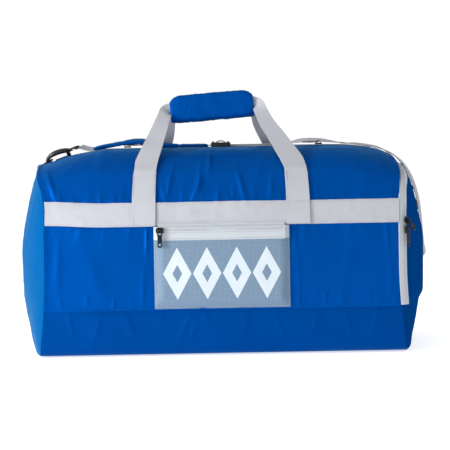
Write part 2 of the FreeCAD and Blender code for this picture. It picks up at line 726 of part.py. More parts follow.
# right: the hook hangs on the end, behind the crown of the panel, gate outwards
RH = (345.5, YS + 33, 214.0)
RX = (-0.33, 0.0, 0.944)
RZ = (-0.944, 0.0, -0.33)
hook_set("right", RH, RX, RZ, (0.944, 0.0, 0.33))
RY = YS + 33
d_ring("right_d_ring", (330.3, RY, 277.3), (8.3, 0, -22.3))


# webbing tabs that hold the D-rings: a loop round the bar, its two ends sewn to the end panel
def tab(name, bar, y, ends, to, turn):
    """loop from ends[0] round the bar and back to ends[1]; to is the angle that faces the seam"""
    r = 4.9
    pts = [ends[0]]
    for d in range(-125, 126, 50):
        a = math.radians(to + 180 + turn * d)
        pts.append((bar[0] + r * math.cos(a), bar[1] + r * math.sin(a)))
    pts.append(ends[1])
    out(name, strip([(x, y, z) for x, z in pts], 14.0, 1.4, V(0, 1, 0)))


def surf_x(sgn, y, z):
    zu = 250 + (z - 250) * 91.0 / (lerp(CREST, sgn * 309) - 250) if z > 250 else z
    if sgn < 0:
        return end_x(y, zu)
    t = min(1.0, abs(y) / half_in(zu))
    return lerp(SEAM_X, zu) + RUN + (lerp(BULGE, zu) - 8) * (1 - t * t)


lz = (268.0, 274.0)
tab("left_d_ring_tab", (-317.2, 310.6), LY, [(-(surf_x(-1, LY - 14, 280) + 3.4), 280), (-(surf_x(-1, LY - 14, 296) + 1.4), 295)], 262, -1)
tab("right_d_ring_tab", (330.3, 277.3), RY, [(surf_x(1, RY - 14, 291) + 1.6, 291), (surf_x(1, RY - 14, 294) + 4.4, 294)], 118, 1)

for n, s in NODES.items():
    bb = s.BoundBox
    ok = s.isValid()
    print("%-28s %s vol %9.1f  x %7.1f %7.1f  y %7.1f %7.1f  z %6.1f %6.1f" % (n, "ok " if ok else "BAD", s.Volume, bb.XMin, bb.XMax, bb.YMin, bb.YMax, bb.ZMin, bb.ZMax))
print(len(NODES), "nodes")
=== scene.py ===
import math
import random

import bpy
import numpy as np
from mathutils import Matrix, Vector


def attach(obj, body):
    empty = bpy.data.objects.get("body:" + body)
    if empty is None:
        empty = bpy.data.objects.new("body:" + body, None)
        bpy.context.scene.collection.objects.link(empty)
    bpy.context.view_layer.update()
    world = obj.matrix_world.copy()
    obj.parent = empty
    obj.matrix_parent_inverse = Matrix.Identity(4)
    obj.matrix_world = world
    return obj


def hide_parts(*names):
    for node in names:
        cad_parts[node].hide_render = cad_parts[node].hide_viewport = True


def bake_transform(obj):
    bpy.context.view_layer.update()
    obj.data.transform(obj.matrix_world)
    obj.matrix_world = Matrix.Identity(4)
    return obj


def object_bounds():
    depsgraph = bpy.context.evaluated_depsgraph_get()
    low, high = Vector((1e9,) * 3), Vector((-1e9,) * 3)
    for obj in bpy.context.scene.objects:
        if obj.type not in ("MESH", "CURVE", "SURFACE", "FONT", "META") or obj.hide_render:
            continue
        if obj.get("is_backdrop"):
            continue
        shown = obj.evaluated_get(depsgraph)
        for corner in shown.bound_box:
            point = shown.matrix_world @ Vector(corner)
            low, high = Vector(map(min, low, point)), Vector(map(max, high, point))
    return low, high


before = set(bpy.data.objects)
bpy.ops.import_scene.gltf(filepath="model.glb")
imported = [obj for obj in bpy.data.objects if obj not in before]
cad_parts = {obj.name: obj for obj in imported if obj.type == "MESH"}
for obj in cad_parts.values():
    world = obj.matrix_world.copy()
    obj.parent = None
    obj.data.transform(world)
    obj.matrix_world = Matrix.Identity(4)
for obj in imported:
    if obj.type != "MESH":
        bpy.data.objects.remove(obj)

CAD_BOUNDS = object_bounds()
random.seed(7)
MM = 0.001

# ================================================================ tables (millimetres)
CREST = [(-309, 315), (-284, 321.5), (-262, 329), (-239, 334), (-210, 338.5), (-195, 341), (190, 341),
         (227, 339.5), (252, 336), (268, 333), (283, 327), (300, 319), (309, 313)]
PROFILE = [(0, 0), (-65, 0), (-125, 0), (-143, 8), (-150, 30), (-154, 75), (-155.5, 130), (-154, 175), (-151, 211),
           (-147.5, 230), (-142, 249), (-132, 275), (-117, 298), (-90, 319), (-60, 332), (-30, 339), (-14, 340.6)]
REAR = list(PROFILE)
REAR[14], REAR[15], REAR[16] = (-60, 329.5), (-30, 335), (-14, 339.6)
SEAM_X = [(0, 299), (75, 290), (140, 287), (230, 287), (275, 292), (298, 299), (319, 305), (341, 309)]
BULGE = [(0, 22), (30, 34), (75, 48.5), (120, 55), (180, 55), (230, 47), (275, 33), (298, 22), (319, 10), (341, 2)]
HANDLE_X, WEB_W, WEB_T = 125.0, 38.0, 1.6
POCKET_X, POCKET_TOP = 109.5, 189.0
YS = 41.0
INS, RUN = 9.0, 12.0


# ================================================================ small maths
def pchip(table):
    xs = np.array([t[0] for t in table], float)
    ys = np.array([t[1] for t in table], float)
    h = np.diff(xs)
    d = np.diff(ys) / h
    m = np.zeros_like(ys)
    m[0], m[-1] = d[0], d[-1]
    for i in range(1, len(ys) - 1):
        if d[i - 1] * d[i] > 0:
            w1, w2 = 2 * h[i] + h[i - 1], h[i] + 2 * h[i - 1]
            m[i] = (w1 + w2) / (w1 / d[i - 1] + w2 / d[i])

    def f(v):
        v = np.clip(np.asarray(v, float), xs[0], xs[-1])
        i = np.clip(np.searchsorted(xs, v, side="right") - 1, 0, len(h) - 1)
        t = (v - xs[i]) / h[i]
        return ((2 * t**3 - 3 * t**2 + 1) * ys[i] + (t**3 - 2 * t**2 + t) * h[i] * m[i]
                + (-2 * t**3 + 3 * t**2) * ys[i + 1] + (t**3 - t**2) * h[i] * m[i + 1])
    return f


def catmull(pts, u):
    pts = np.asarray(pts, float)
    n = len(pts)
    ext = np.vstack([2 * pts[0] - pts[1], pts, 2 * pts[-1] - pts[-2]])
    u = np.asarray(u, float)
    i = np.clip(np.floor(u).astype(int), 0, n - 2)
    t = (u - i)[..., None]
    p0, p1, p2, p3 = ext[i], ext[i + 1], ext[i + 2], ext[i + 3]
    return 0.5 * (2 * p1 + (p2 - p0) * t + (2 * p0 - 5 * p1 + 4 * p2 - p3) * t**2 + (3 * p1 - p0 - 3 * p2 + p3) * t**3)


def smooth_path(pts, step, extra=None):
    """dense points along a smooth curve through pts; extra columns follow along"""
    pts = np.asarray(pts, float)
    n = len(pts)
    us = [0.0]
    for i in range(n - 1):
        k = max(1, int(round(np.linalg.norm(pts[i + 1, :3] - pts[i, :3]) / step)))
        us += [i + (j + 1) / k for j in range(k)]
    us[-1] = n - 1.0
    p = catmull(pts, us)
    if extra is None:
        return p
    ex = np.asarray(extra, float)
    us = np.array(us)
    i = np.clip(np.floor(us).astype(int), 0, n - 2)
    t = us - i
    if ex.ndim == 1:
        return p, ex[i] * (1 - t) + ex[i + 1] * t
    return p, ex[i] * (1 - t)[:, None] + ex[i + 1] * t[:, None]


def unit(v):
    v = np.asarray(v, float)
    return v / np.maximum(np.linalg.norm(v, axis=-1, keepdims=True), 1e-12)


def vnoise(x, y, seed, size=1.0):
    """soft value noise in -1..1, the same every run"""
    tab = np.random.RandomState(seed).rand(128, 128) * 2 - 1
    x, y = np.asarray(x, float) / size + 500.0, np.asarray(y, float) / size + 500.0
    ix, iy = np.floor(x).astype(int), np.floor(y).astype(int)
    fx, fy = x - ix, y - iy
    fx, fy = fx * fx * (3 - 2 * fx), fy * fy * (3 - 2 * fy)
    a, b = tab[ix % 128, iy % 128], tab[(ix + 1) % 128, iy % 128]
    c, d = tab[ix % 128, (iy + 1) % 128], tab[(ix + 1) % 128, (iy + 1) % 128]
    return (a * (1 - fx) + b * fx) * (1 - fy) + (c * (1 - fx) + d * fx) * fy


def sstep(a, b, v):
    t = np.clip((np.asarray(v, float) - a) / (b - a), 0, 1)
    return t * t * (3 - 2 * t)


SEAM_R = [(0, 299), (75, 290), (140, 287), (214, 287.3), (250, 289.5), (275, 291), (298, 294.5), (312, 296), (326, 295), (341, 291)]
crest_f, seam_f, bulge_f, seam_rf = pchip(CREST), pchip(SEAM_X), pchip(BULGE), pchip(SEAM_R)
halfw_f = pchip([(z, -y) for y, z in PROFILE[2:]])


def lift(x, z):
    x, z = np.asarray(x, float), np.asarray(z, float)
    return np.where(z < 250, z, 250 + (z - 250) * (crest_f(np.clip(x, -309, 309)) - 250) / 91.0)


# ================================================================ folds in the fabric
# x, z of the middle, half width, half length, height, slope (dx per dz)
FRONT_FOLDS = [
    (-84, 276, 6, 26, 2.6, 0.20), (-93, 262, 4, 14, 1.6, -0.15), (-35, 283, 6.5, 17, 3.0, 0.10), (-41, 264, 5.5, 15, 3.0, 0.45),
    (-18, 311, 6, 16, 2.4, 0.05), (-62, 258, 4, 13, 1.3, 0.1), (33, 276, 7, 22, 2.8, -0.25), (20, 262, 4, 14, 1.5, 0.1),
    (82, 270, 6, 18, 1.8, 0.1), (64, 300, 9, 16, 1.2, 0.3), (96, 255, 4, 12, 1.2, 0.0), (54, 259, 5, 13, 1.4, -0.1),
    (-5, 258, 5, 12, 1.5, 0.15), (-115, 300, 12, 20, -1.2, 0.5),
    (-276, 283, 7, 28, 3.4, -0.32), (-262, 262, 6, 14, 1.8, -0.1), (-240, 256, 5, 9, 1.0, 0), (-214, 255, 5, 9, 1.1, 0.1),
    (-196, 256, 5, 10, 1.1, 0), (-172, 255, 5, 9, 1.0, 0), (-160, 258, 5, 12, 1.1, 0.1),
    (-121, 190, 4.5, 26, 2.4, 0.02), (-150, 200, 10, 20, 1.2, 0.1), (-228, 202, 16, 14, 1.6, 0.4), (-190, 196, 12, 18, 1.0, 0.1),
    (118, 190, 4.5, 20, 2.0, 0.02), (132, 196, 6, 16, 1.0, 0.1), (226, 196, 12, 14, 1.2, 0.2), (184, 200, 9, 12, 0.8, 0),
    (-265, 150, 10, 40, 1.4, 0.05), (-128, 110, 6, 30, 1.6, 0.05), (124, 120, 5, 30, 1.5, 0.0), (200, 130, 24, 50, 1.5, 0.2),
    (-200, 120, 30, 40, 1.8, -0.3), (232, 268, 16, 20, 1.2, 0.3), (190, 300, 24, 10, 1.3, 1.2), (255, 310, 18, 8, 1.6, -1.0),
    (-205, 300, 30, 12, 1.4, 0.8), (-250, 310, 16, 9, 1.2, 1.0), (268, 190, 7, 34, 1.6, -0.05), (272, 120, 6, 30, 1.4, 0.05),
]
FRONT_FOLDS += [(-62, 46, 7, 20, 1.7, 0.45), (-48, 40, 5, 16, 1.4, 0.35), (-26, 58, 5, 12, 1.1, -0.3), (-150, 48, 9, 18, 1.5, -0.4),
                (-205, 44, 8, 20, 1.5, 0.3), (-246, 52, 7, 18, 1.6, -0.2), (-100, 60, 6, 10, 1.0, 0.2), (36, 50, 8, 18, 1.4, 0.3),
                (92, 46, 7, 18, 1.3, -0.35), (150, 52, 9, 16, 1.6, 0.4), (204, 44, 7, 18, 1.3, -0.2), (246, 50, 7, 20, 1.8, 0.3)]
for i in range(15):     # gathers just above the bottom seam
    FRONT_FOLDS.append((-262 + i * 38 + (i % 3) * 5, 88 + (i % 2) * 4, 5.5, 9, 1.1 + 0.4 * (i % 3), 0.15 * ((i % 3) - 1)))
for i in range(24):     # and above and below the band
    FRONT_FOLDS.append((-270 + i * 23.5 + (i % 4) * 2, 253, 4.2, 6, 0.8, 0))
    if abs(-270 + i * 23.5) > 125:
        FRONT_FOLDS.append((-270 + i * 23.5 + (i % 3) * 3, 206, 4.2, 6, 0.7, 0))


def fold_field(u, x, side):
    """outward displacement of the body fabric"""
    u, x = np.broadcast_arrays(np.asarray(u, float), np.asarray(x, float))
    z = catmull(PROFILE, u)[..., 1]
    along = u * 30.0
    d = 2.0 * vnoise(x, along, 11 if side < 0 else 12, 95.0) + 0.9 * vnoise(x + 0.3 * along, along, 13 if side < 0 else 14, 42.0)
    d += 0.35 * vnoise(x, along * 0.6, 15 if side < 0 else 16, 15.0)
    s = 1.0 if side < 0 else -1.0
    for x0, z0, w, l, amp, sl in FRONT_FOLDS:
        xx = (x * s - x0 - sl * (z - z0))
        near = np.abs(xx) < 4 * w
        g = np.where(near, (1.0 / (1.0 + (xx / (0.62 * w)) ** 2) ** 1.6) * np.exp(-((z - z0) / l) ** 2), 0.0)
        d = d + amp * 1.25 * g * (1.0 if side < 0 else 0.75)
    d = d * sstep(2.2, 3.6, u)
    lim = np.where(x > 0, seam_rf(z), seam_f(z))
    edge = np.clip((lim - np.abs(x)) / 16.0, 0, 1)
    d = d * (edge * (2 - edge))
    # the seam at the base tray and the stitched band hold the fabric down
    d = d * (1 - 0.75 * np.exp(-((z - 75) / 3.0) ** 2))
    d = d * (1 - 0.55 * (sstep(207, 213, z) - sstep(247, 253, z)))
    d = d * (1 - 0.75 * sstep(14.6, 15.9, u))
    # a shallow groove along the seam of the base tray
    d = d - 0.9 * np.exp(-((z - 75) / 1.6) ** 2) * sstep(4.0, 4.4, u) * (1 - sstep(5.5, 6, u))
    return d


def base_point(u, x, side):
    u, x = np.broadcast_arrays(np.asarray(u, float), np.asarray(x, float))
    yz = catmull(PROFILE if side < 0 else REAR, u)
    y = yz[..., 0] * (1 if side < 0 else -1)
    z = np.maximum(yz[..., 1], 0.0)
    return np.stack([x, y, lift(x, z)], -1)


def skin(u, x, side, off=0.0, folds=1.0):
    """points on the body fabric at profile position u (0 under the base ... 16 at the zip) and x"""
    u, x = np.broadcast_arrays(np.asarray(u, float), np.asarray(x, float))
    p = base_point(u, x, side)
    e = 0.02
    du = base_point(np.clip(u + e, 0, 16), x, side) - base_point(np.clip(u - e, 0, 16), x, side)
    dx = base_point(u, x + 1.0, side) - base_point(u, x - 1.0, side)
    n = unit(np.cross(dx, du))
    if side > 0:
        n = -n
    d = fold_field(u, x, side) * folds if folds else 0.0
    return p + n * (d + off)[..., None], n


def z_to_u(z):
    """profile position on the front or rear for a height between 20 and 320"""
    us = np.linspace(3, 16, 600)
    zs = catmull(PROFILE, us)[:, 1]
    return np.interp(z, zs, us)


def limits(u, right=False):
    yz = catmull(PROFILE, u)
    y, z = yz[..., 0], np.maximum(yz[..., 1], 0)
    t = np.clip(np.abs(y) / halfw_f(z), 0, 1)
    crown = np.where(np.asarray(u) < 3, bulge_f(z) * (1 - t**2), 0.0)
    return (seam_rf(z) if right else seam_f(z)) + crown


def band_rise(side, x):
    """the front band climbs a little towards the left end seam"""
    return 4.2 * sstep(-185, -292, np.asarray(x, float)) if side < 0 else 0.0 * np.asarray(x, float)


# ================================================================ meshes
def new_mesh(name, verts, faces, uvs=None, mats=(), face_mat=None, smooth=True):
    me = bpy.data.meshes.new(name)
    me.from_pydata([tuple(v) for v in (np.asarray(verts) * MM)], [], [tuple(int(i) for i in f) for f in faces])
    ob = bpy.data.objects.new(name, me)
    bpy.context.scene.collection.objects.link(ob)
    for m in mats:
        me.materials.append(m)
    if face_mat is not None:
        me.polygons.foreach_set("material_index", np.asarray(face_mat, np.int32))
    if uvs is not None:
        lay = me.uv_layers.new(name="UVMap")
        loops = np.zeros(len(me.loops), np.int64)
        me.loops.foreach_get("vertex_index", loops)
        lay.data.foreach_set("uv", (np.asarray(uvs) * MM)[loops].astype(np.float32).ravel())
    if smooth:
        me.shade_smooth()
    me.validate()
    me.update()
    return ob


def grid_normals(P):
    du = np.gradient(P, axis=0)
    dv = np.gradient(P, axis=1)
    return unit(np.cross(dv, du))


def shell(name, P, t, mats, outward, uv=None, wrap=False):
    """a thin closed sheet: P is the outer grid (rows, columns, 3) and t its thickness inwards"""
    P = np.asarray(P, float)
    N = grid_normals(P)
    c = np.array(outward, float)
    if callable(outward) is False and np.mean(np.sum(N * c, -1)) < 0:
        N = -N
        flip = True
    else:
        flip = False
    m, n = P.shape[:2]
    inner = P - N * t
    if uv is None:
        su = np.concatenate([np.zeros((m, 1)), np.cumsum(np.linalg.norm(np.diff(P, axis=1), axis=2), axis=1)], 1)
        su = su - su[:, [n // 2]]
        sv = np.concatenate([np.zeros((1, n)), np.cumsum(np.linalg.norm(np.diff(P, axis=0), axis=2), axis=0)], 0)
        uv = np.stack([su, sv], -1)
    verts = np.concatenate([P.reshape(-1, 3), inner.reshape(-1, 3)])
    uvs = np.concatenate([uv.reshape(-1, 2), uv.reshape(-1, 2)])
    idx = np.arange(m * n).reshape(m, n)
    a, b, c2, d = idx[:-1, :-1].ravel(), idx[:-1, 1:].ravel(), idx[1:, 1:].ravel(), idx[1:, :-1].ravel()
    outer = np.stack([a, b, c2, d], 1)
    if flip:
        outer = outer[:, ::-1]
    k = m * n
    inn = outer[:, ::-1] + k
    rim = np.concatenate([idx[0, :], idx[1:, -1], idx[-1, :-1][::-1], idx[1:-1, 0][::-1]])
    r1 = np.roll(rim, -1)
    side = np.stack([rim, rim + k, r1 + k, r1], 1)
    if flip:
        side = side[:, ::-1]
    # outer faces turn one way; the rim has to turn the same way
    faces = np.concatenate([outer, inn, side])
    fm = np.concatenate([np.zeros(len(outer)), np.ones(len(inn)) * (1 if len(mats) > 1 else 0), np.zeros(len(side))])
    ob = new_mesh(name, verts, faces, uvs, mats, fm)
    fix_normals(ob)
    sharp(ob, 50)
    return ob


def fix_normals(ob):
    import bmesh
    bm = bmesh.new()
    bm.from_mesh(ob.data)
    bmesh.ops.recalc_face_normals(bm, faces=bm.faces)
    bm.to_mesh(ob.data)
    bm.free()
    for p in ob.data.polygons:
        p.use_smooth = True


def sharp(ob, angle=35):
    ob.data.set_sharp_from_angle(angle=math.radians(angle))
    return ob


def web_section(n=10):
    """flat webbing: across -1..1 and through -1..1, with rounded selvedges"""
    xs = np.linspace(-0.985, 0.985, n)
    top = [(x, 1.0) for x in xs]
    bot = [(x, -1.0) for x in xs[::-1]]
    return top + [(1.0, 0.45), (1.0, -0.45)] + bot + [(-1.0, -0.45), (-1.0, 0.45)]


def round_section(n=12):
    return [(math.cos(2 * math.pi * i / n), math.sin(2 * math.pi * i / n)) for i in range(n)]


def box_section(r=0.35, n=3):
    pts = []
    for cx, cy, a0 in ((1 - r, 1 - r, 0), (-(1 - r), 1 - r, 90), (-(1 - r), -(1 - r), 180), (1 - r, -(1 - r), 270)):
        for i in range(n + 1):
            a = math.radians(a0 + 90 * i / n)
            pts.append((cx + r * math.cos(a), cy + r * math.sin(a)))
    return pts


def sweep(name, path, wdir, hw, ht, section, mats, closed=False, ripple=0.0, seed=1, smooth=True):
    """carry a section along path; wdir is the direction of its width"""
    path = np.asarray(path, float)
    m = len(path)
    wdir = np.asarray(wdir, float)
    if wdir.ndim == 1:
        wdir = np.tile(wdir, (m, 1))
    hw = np.broadcast_to(np.asarray(hw, float), (m,))
    ht = np.broadcast_to(np.asarray(ht, float), (m,))
    if closed:
        tan = np.roll(path, -1, 0) - np.roll(path, 1, 0)
    else:
        tan = np.gradient(path, axis=0)
    tan = unit(tan)
    w = unit(wdir - np.sum(wdir * tan, 1, keepdims=True) * tan)
    nrm = unit(np.cross(tan, w))
    sec = np.asarray(section, float)
    k = len(sec)
    P = path[:, None, :] + w[:, None, :] * (sec[None, :, 0] * hw[:, None])[..., None] + nrm[:, None, :] * (sec[None, :, 1] * ht[:, None])[..., None]
    s = np.concatenate([[0], np.cumsum(np.linalg.norm(np.diff(path, axis=0), axis=1))])
    if ripple:
        r = ripple * vnoise(s[:, None] + 0 * sec[None, :, 0], (sec[None, :, 0] * hw[:, None]) * 0.5, seed, 22.0)
        P = P + nrm[:, None, :] * r[..., None]
    uv = np.stack([np.broadcast_to(s[:, None], (m, k)), sec[None, :, 0] * hw[:, None]], -1)
    idx = np.arange(m * k).reshape(m, k)
    faces = []
    rows = m if closed else m - 1
    for i in range(rows):
        a, b = idx[i], idx[(i + 1) % m]
        for j in range(k):
            j2 = (j + 1) % k
            faces.append((a[j], a[j2], b[j2], b[j]))
    verts = P.reshape(-1, 3)
    uvs = uv.reshape(-1, 2)
    if not closed:
        for row in (idx[0][::-1], idx[-1]):
            c = len(verts)
            verts = np.vstack([verts, verts[row].mean(0)])
            uvs = np.vstack([uvs, uvs[row].mean(0)])
            for j in range(k):
                faces.append((row[j], row[(j + 1) % k], c))
    ob = new_mesh(name, verts, faces, uvs, mats, None, smooth)
    fix_normals(ob)
    sharp(ob, 50)
    return ob


def join(name, obs):
    """several meshes made into one"""
    bpy.ops.object.select_all(action="DESELECT")
    for o in obs:
        o.select_set(True)
    bpy.context.view_layer.objects.active = obs[0]
    if len(obs) > 1:
        bpy.ops.object.join()
    o = bpy.context.view_layer.objects.active
    o.name = name
    o.data.name = name
    o.select_set(False)
    return o


def solid_box(x0, x1, y0, y1, z0, z1, r=0.4, seg=2):
    import bmesh
    bm = bmesh.new()
    bmesh.ops.create_cube(bm, size=1.0)
    for v in bm.verts:
        v.co = Vector(((x0 + x1) / 2 + v.co.x * (x1 - x0), (y0 + y1) / 2 + v.co.y * (y1 - y0), (z0 + z1) / 2 + v.co.z * (z1 - z0)))
    if r:
        bmesh.ops.bevel(bm, geom=list(bm.edges), offset=r, segments=seg, profile=0.5, affect="EDGES")
    me = bpy.data.meshes.new("b")
    for v in bm.verts:
        v.co *= MM
    bm.to_mesh(me)
    bm.free()
    ob = bpy.data.objects.new("b", me)
    bpy.context.scene.collection.objects.link(ob)
    for p in me.polygons:
        p.use_smooth = True
    return ob


def plate(outlines, t, bevel=0.25):
    """a flat part with rounded edges from outlines in its own plane; later outlines are holes"""
    cu = bpy.data.curves.new("p", "CURVE")
    cu.dimensions = "2D"
    cu.fill_mode = "BOTH"
    for o in outlines:
        sp = cu.splines.new("POLY")
        sp.points.add(len(o) - 1)
        for q, (x, y) in zip(sp.points, o):
            q.co = (x * MM, y * MM, 0, 1)
        sp.use_cyclic_u = True
    cu.extrude = (t / 2 - bevel) * MM
    cu.bevel_depth = bevel * MM
    cu.bevel_resolution = 2
    cu.offset = -bevel * MM
    ob = bpy.data.objects.new("p", cu)
    bpy.context.scene.collection.objects.link(ob)
    bpy.context.view_layer.update()
    dg = bpy.context.evaluated_depsgraph_get()
    me = bpy.data.meshes.new_from_object(ob.evaluated_get(dg))
    bpy.data.objects.remove(ob)
    ob = bpy.data.objects.new("p", me)
    bpy.context.scene.collection.objects.link(ob)
    import bmesh
    bm = bmesh.new()
    bm.from_mesh(me)
    bmesh.ops.remove_doubles(bm, verts=bm.verts, dist=1e-6)
    bmesh.ops.recalc_face_normals(bm, faces=bm.faces)
    bm.to_mesh(me)
    bm.free()
    for p in me.polygons:
        p.use_smooth = True
    return sharp(ob, 40)


def put(ob, origin, ex, ez):
    """move a part drawn in local axes to its place"""
    ex, ez = Vector(ex).normalized(), Vector(ez)
    ez = (ez - ex * ez.dot(ex)).normalized()
    ey = ez.cross(ex)
    m = Matrix(((ex.x, ey.x, ez.x, origin[0] * MM), (ex.y, ey.y, ez.y, origin[1] * MM), (ex.z, ey.z, ez.z, origin[2] * MM), (0, 0, 0, 1)))
    ob.data.transform(m)
    ob.data.update()
    return ob


def paint(ob, *mats):
    ob.data.materials.clear()
    for m in mats:
        ob.data.materials.append(m)
    return ob


def stitches(name, lines, mat, pitch=3.4, length=2.5, w=0.42, sink=0.1):
    """rows of thread: each line is (points, normals); every stitch is a small capsule"""
    V_, F_ = [], []
    for pts, nrm in lines:
        pts, nrm = np.asarray(pts, float), np.asarray(nrm, float)
        if nrm.ndim == 1:
            nrm = np.tile(nrm, (len(pts), 1))
        s = np.concatenate([[0], np.cumsum(np.linalg.norm(np.diff(pts, axis=0), axis=1))])
        c = np.arange(pitch / 2, s[-1], pitch)
        at = lambda q, a: np.stack([np.interp(q, s, a[:, j]) for j in range(3)], -1)
        p, n = at(c, pts), unit(at(c, nrm))
        t = unit(at(np.minimum(c + 0.5, s[-1]), pts) - at(np.maximum(c - 0.5, 0), pts))
        b = unit(np.cross(n, t))
        p = p + n * (w - sink)
        for i in range(len(c)):
            k = len(V_)
            for q, r in ((-0.5, 0.35), (-0.28, 1.0), (0.28, 1.0), (0.5, 0.35)):
                ctr = p[i] + t[i] * q * length - n[i] * (w * 0.5 if abs(q) > 0.4 else 0)
                for sx, sy in ((1, 0), (0, 1), (-1, 0), (0, -1)):
                    V_.append(ctr + b[i] * sx * w * r + n[i] * sy * w * r)
            for a in range(3):
                for j in range(4):
                    F_.append((k + a * 4 + j, k + a * 4 + (j + 1) % 4, k + a * 4 + 4 + (j + 1) % 4, k + a * 4 + 4 + j))
            F_.append((k, k + 3, k + 2, k + 1))
            F_.append((k + 12, k + 13, k + 14, k + 15))
    ob = new_mesh(name, np.array(V_), F_, None, [mat])
    fix_normals(ob)
    return ob


# ================================================================ materials
def mat_new(name):
    m = bpy.data.materials.new(name)
    m.use_nodes = True
    nt = m.node_tree
    nt.nodes.clear()
    out = nt.nodes.new("ShaderNodeOutputMaterial")
    bs = nt.nodes.new("ShaderNodeBsdfPrincipled")
    nt.links.new(bs.outputs[0], out.inputs[0])
    return m, nt, bs


def node(nt, kind, **props):
    n = nt.nodes.new(kind)
    for k, v in props.items():
        setattr(n, k, v)
    return n


def math_node(nt, op, a, b=None, c=None):
    n = node(nt, "ShaderNodeMath", operation=op)
    for i, v in enumerate((a, b, c)):
        if v is None:
            continue
        if isinstance(v, (int, float)):
            n.inputs[i].default_value = v
        else:
            nt.links.new(v, n.inputs[i])
    return n.outputs[0]


def mix_col(nt, fac, a, b, mode="MIX"):
    n = node(nt, "ShaderNodeMix", data_type="RGBA", blend_type=mode)
    for sock, v in ((n.inputs[0], fac), (n.inputs[6], a), (n.inputs[7], b)):
        if isinstance(v, (int, float)):
            sock.default_value = v
        elif isinstance(v, tuple):
            sock.default_value = (*v, 1.0) if len(v) == 3 else v
        else:
            nt.links.new(v, sock)
    return n.outputs[2]


def uv_mm(nt):
    """u and v of the cloth in millimetres"""
    tc = node(nt, "ShaderNodeTexCoord")
    sx = node(nt, "ShaderNodeSeparateXYZ")
    nt.links.new(tc.outputs["UV"], sx.inputs[0])
    return math_node(nt, "MULTIPLY", sx.outputs[0], 1000.0), math_node(nt, "MULTIPLY", sx.outputs[1], 1000.0)


def noise_tex(nt, scale, detail=3.0, rough=0.55, coord="Object"):
    tc = node(nt, "ShaderNodeTexCoord")
    n = node(nt, "ShaderNodeTexNoise")
    n.inputs["Scale"].default_value = scale
    n.inputs["Detail"].default_value = detail
    n.inputs["Roughness"].default_value = rough
    nt.links.new(tc.outputs[coord], n.inputs["Vector"])
    return n.outputs[0]


def srgb(r, g, b):
    f = lambda c: (c / 255 / 12.92) if c / 255 <= 0.04045 else ((c / 255 + 0.055) / 1.055) ** 2.4
    return (f(r), f(g), f(b))


def bump(nt, height, strength, distance, bs):
    b = node(nt, "ShaderNodeBump")
    b.inputs["Strength"].default_value = strength
    b.inputs["Distance"].default_value = distance
    nt.links.new(height, b.inputs["Height"])
    nt.links.new(b.outputs[0], bs.inputs["Normal"])


def weave_height(nt, u, v, pitch):
    """plain weave: threads over and under each other"""
    k = math.pi / pitch
    su = math_node(nt, "SINE", math_node(nt, "MULTIPLY", u, k))
    sv = math_node(nt, "SINE", math_node(nt, "MULTIPLY", v, k))
    par = math_node(nt, "MULTIPLY", su, sv)
    au = math_node(nt, "ABSOLUTE", su)
    av = math_node(nt, "ABSOLUTE", sv)
    up = math_node(nt, "GREATER_THAN", par, 0.0)
    d = math_node(nt, "SUBTRACT", au, av)
    return math_node(nt, "ADD", av, math_node(nt, "MULTIPLY", up, d))


def fabric(name, col, dark, rough=0.40, spec=0.04, metal=0.0, tint=(0.0, 0.7, 1.0), pitch=0.62, sheen=0.35, sheen_tint=(0.0, 0.72, 1.0), bump_s=0.25):
    m, nt, bs = mat_new(name)
    u, v = uv_mm(nt)
    h = weave_height(nt, u, v, pitch)
    big = noise_tex(nt, 9.0, 2.0)
    worn = noise_tex(nt, 60.0, 4.0)
    c = mix_col(nt, math_node(nt, "MULTIPLY", big, 0.35), col, dark)
    # painted shade: the gaps between the threads of the weave are darkened towards dark
    c = mix_col(nt, math_node(nt, "MULTIPLY", math_node(nt, "SUBTRACT", 1.0, h), 0.22), c, dark)
    nt.links.new(c, bs.inputs["Base Color"])
    r = math_node(nt, "ADD", math_node(nt, "MULTIPLY", worn, 0.16), rough - 0.08)
    nt.links.new(r, bs.inputs["Roughness"])
    bs.inputs["Specular IOR Level"].default_value = spec
    bs.inputs["Specular Tint"].default_value = (*tint, 1.0)
    bs.inputs["Metallic"].default_value = metal
    bs.inputs["Sheen Weight"].default_value = sheen
    bs.inputs["Sheen Roughness"].default_value = 0.4
    bs.inputs["Sheen Tint"].default_value = (*sheen_tint, 1.0)
    bump(nt, h, bump_s, 0.00012, bs)
    return m


def webbing(name, col, dark, pitch=1.25, rough=0.62, ribs=4.2, bump_s=0.5):
    m, nt, bs = mat_new(name)
    u, v = uv_mm(nt)
    # herringbone: the twill turns round in each band across the width
    vb = math_node(nt, "PINGPONG", v, ribs)
    tw = math_node(nt, "SINE", math_node(nt, "MULTIPLY", math_node(nt, "ADD", u, math_node(nt, "MULTIPLY", vb, 0.6)), 2 * math.pi / pitch))
    tw = math_node(nt, "MULTIPLY", math_node(nt, "ADD", tw, 1.0), 0.5)
    grain = noise_tex(nt, 30.0, 4.0)
    c = mix_col(nt, math_node(nt, "MULTIPLY", tw, 0.16), col, dark)
    c = mix_col(nt, math_node(nt, "MULTIPLY", grain, 0.12), c, dark)
    nt.links.new(c, bs.inputs["Base Color"])
    bs.inputs["Roughness"].default_value = rough
    bs.inputs["Specular IOR Level"].default_value = 0.25
    bs.inputs["Sheen Weight"].default_value = 0.1
    bump(nt, tw, bump_s, 0.0003, bs)
    return m


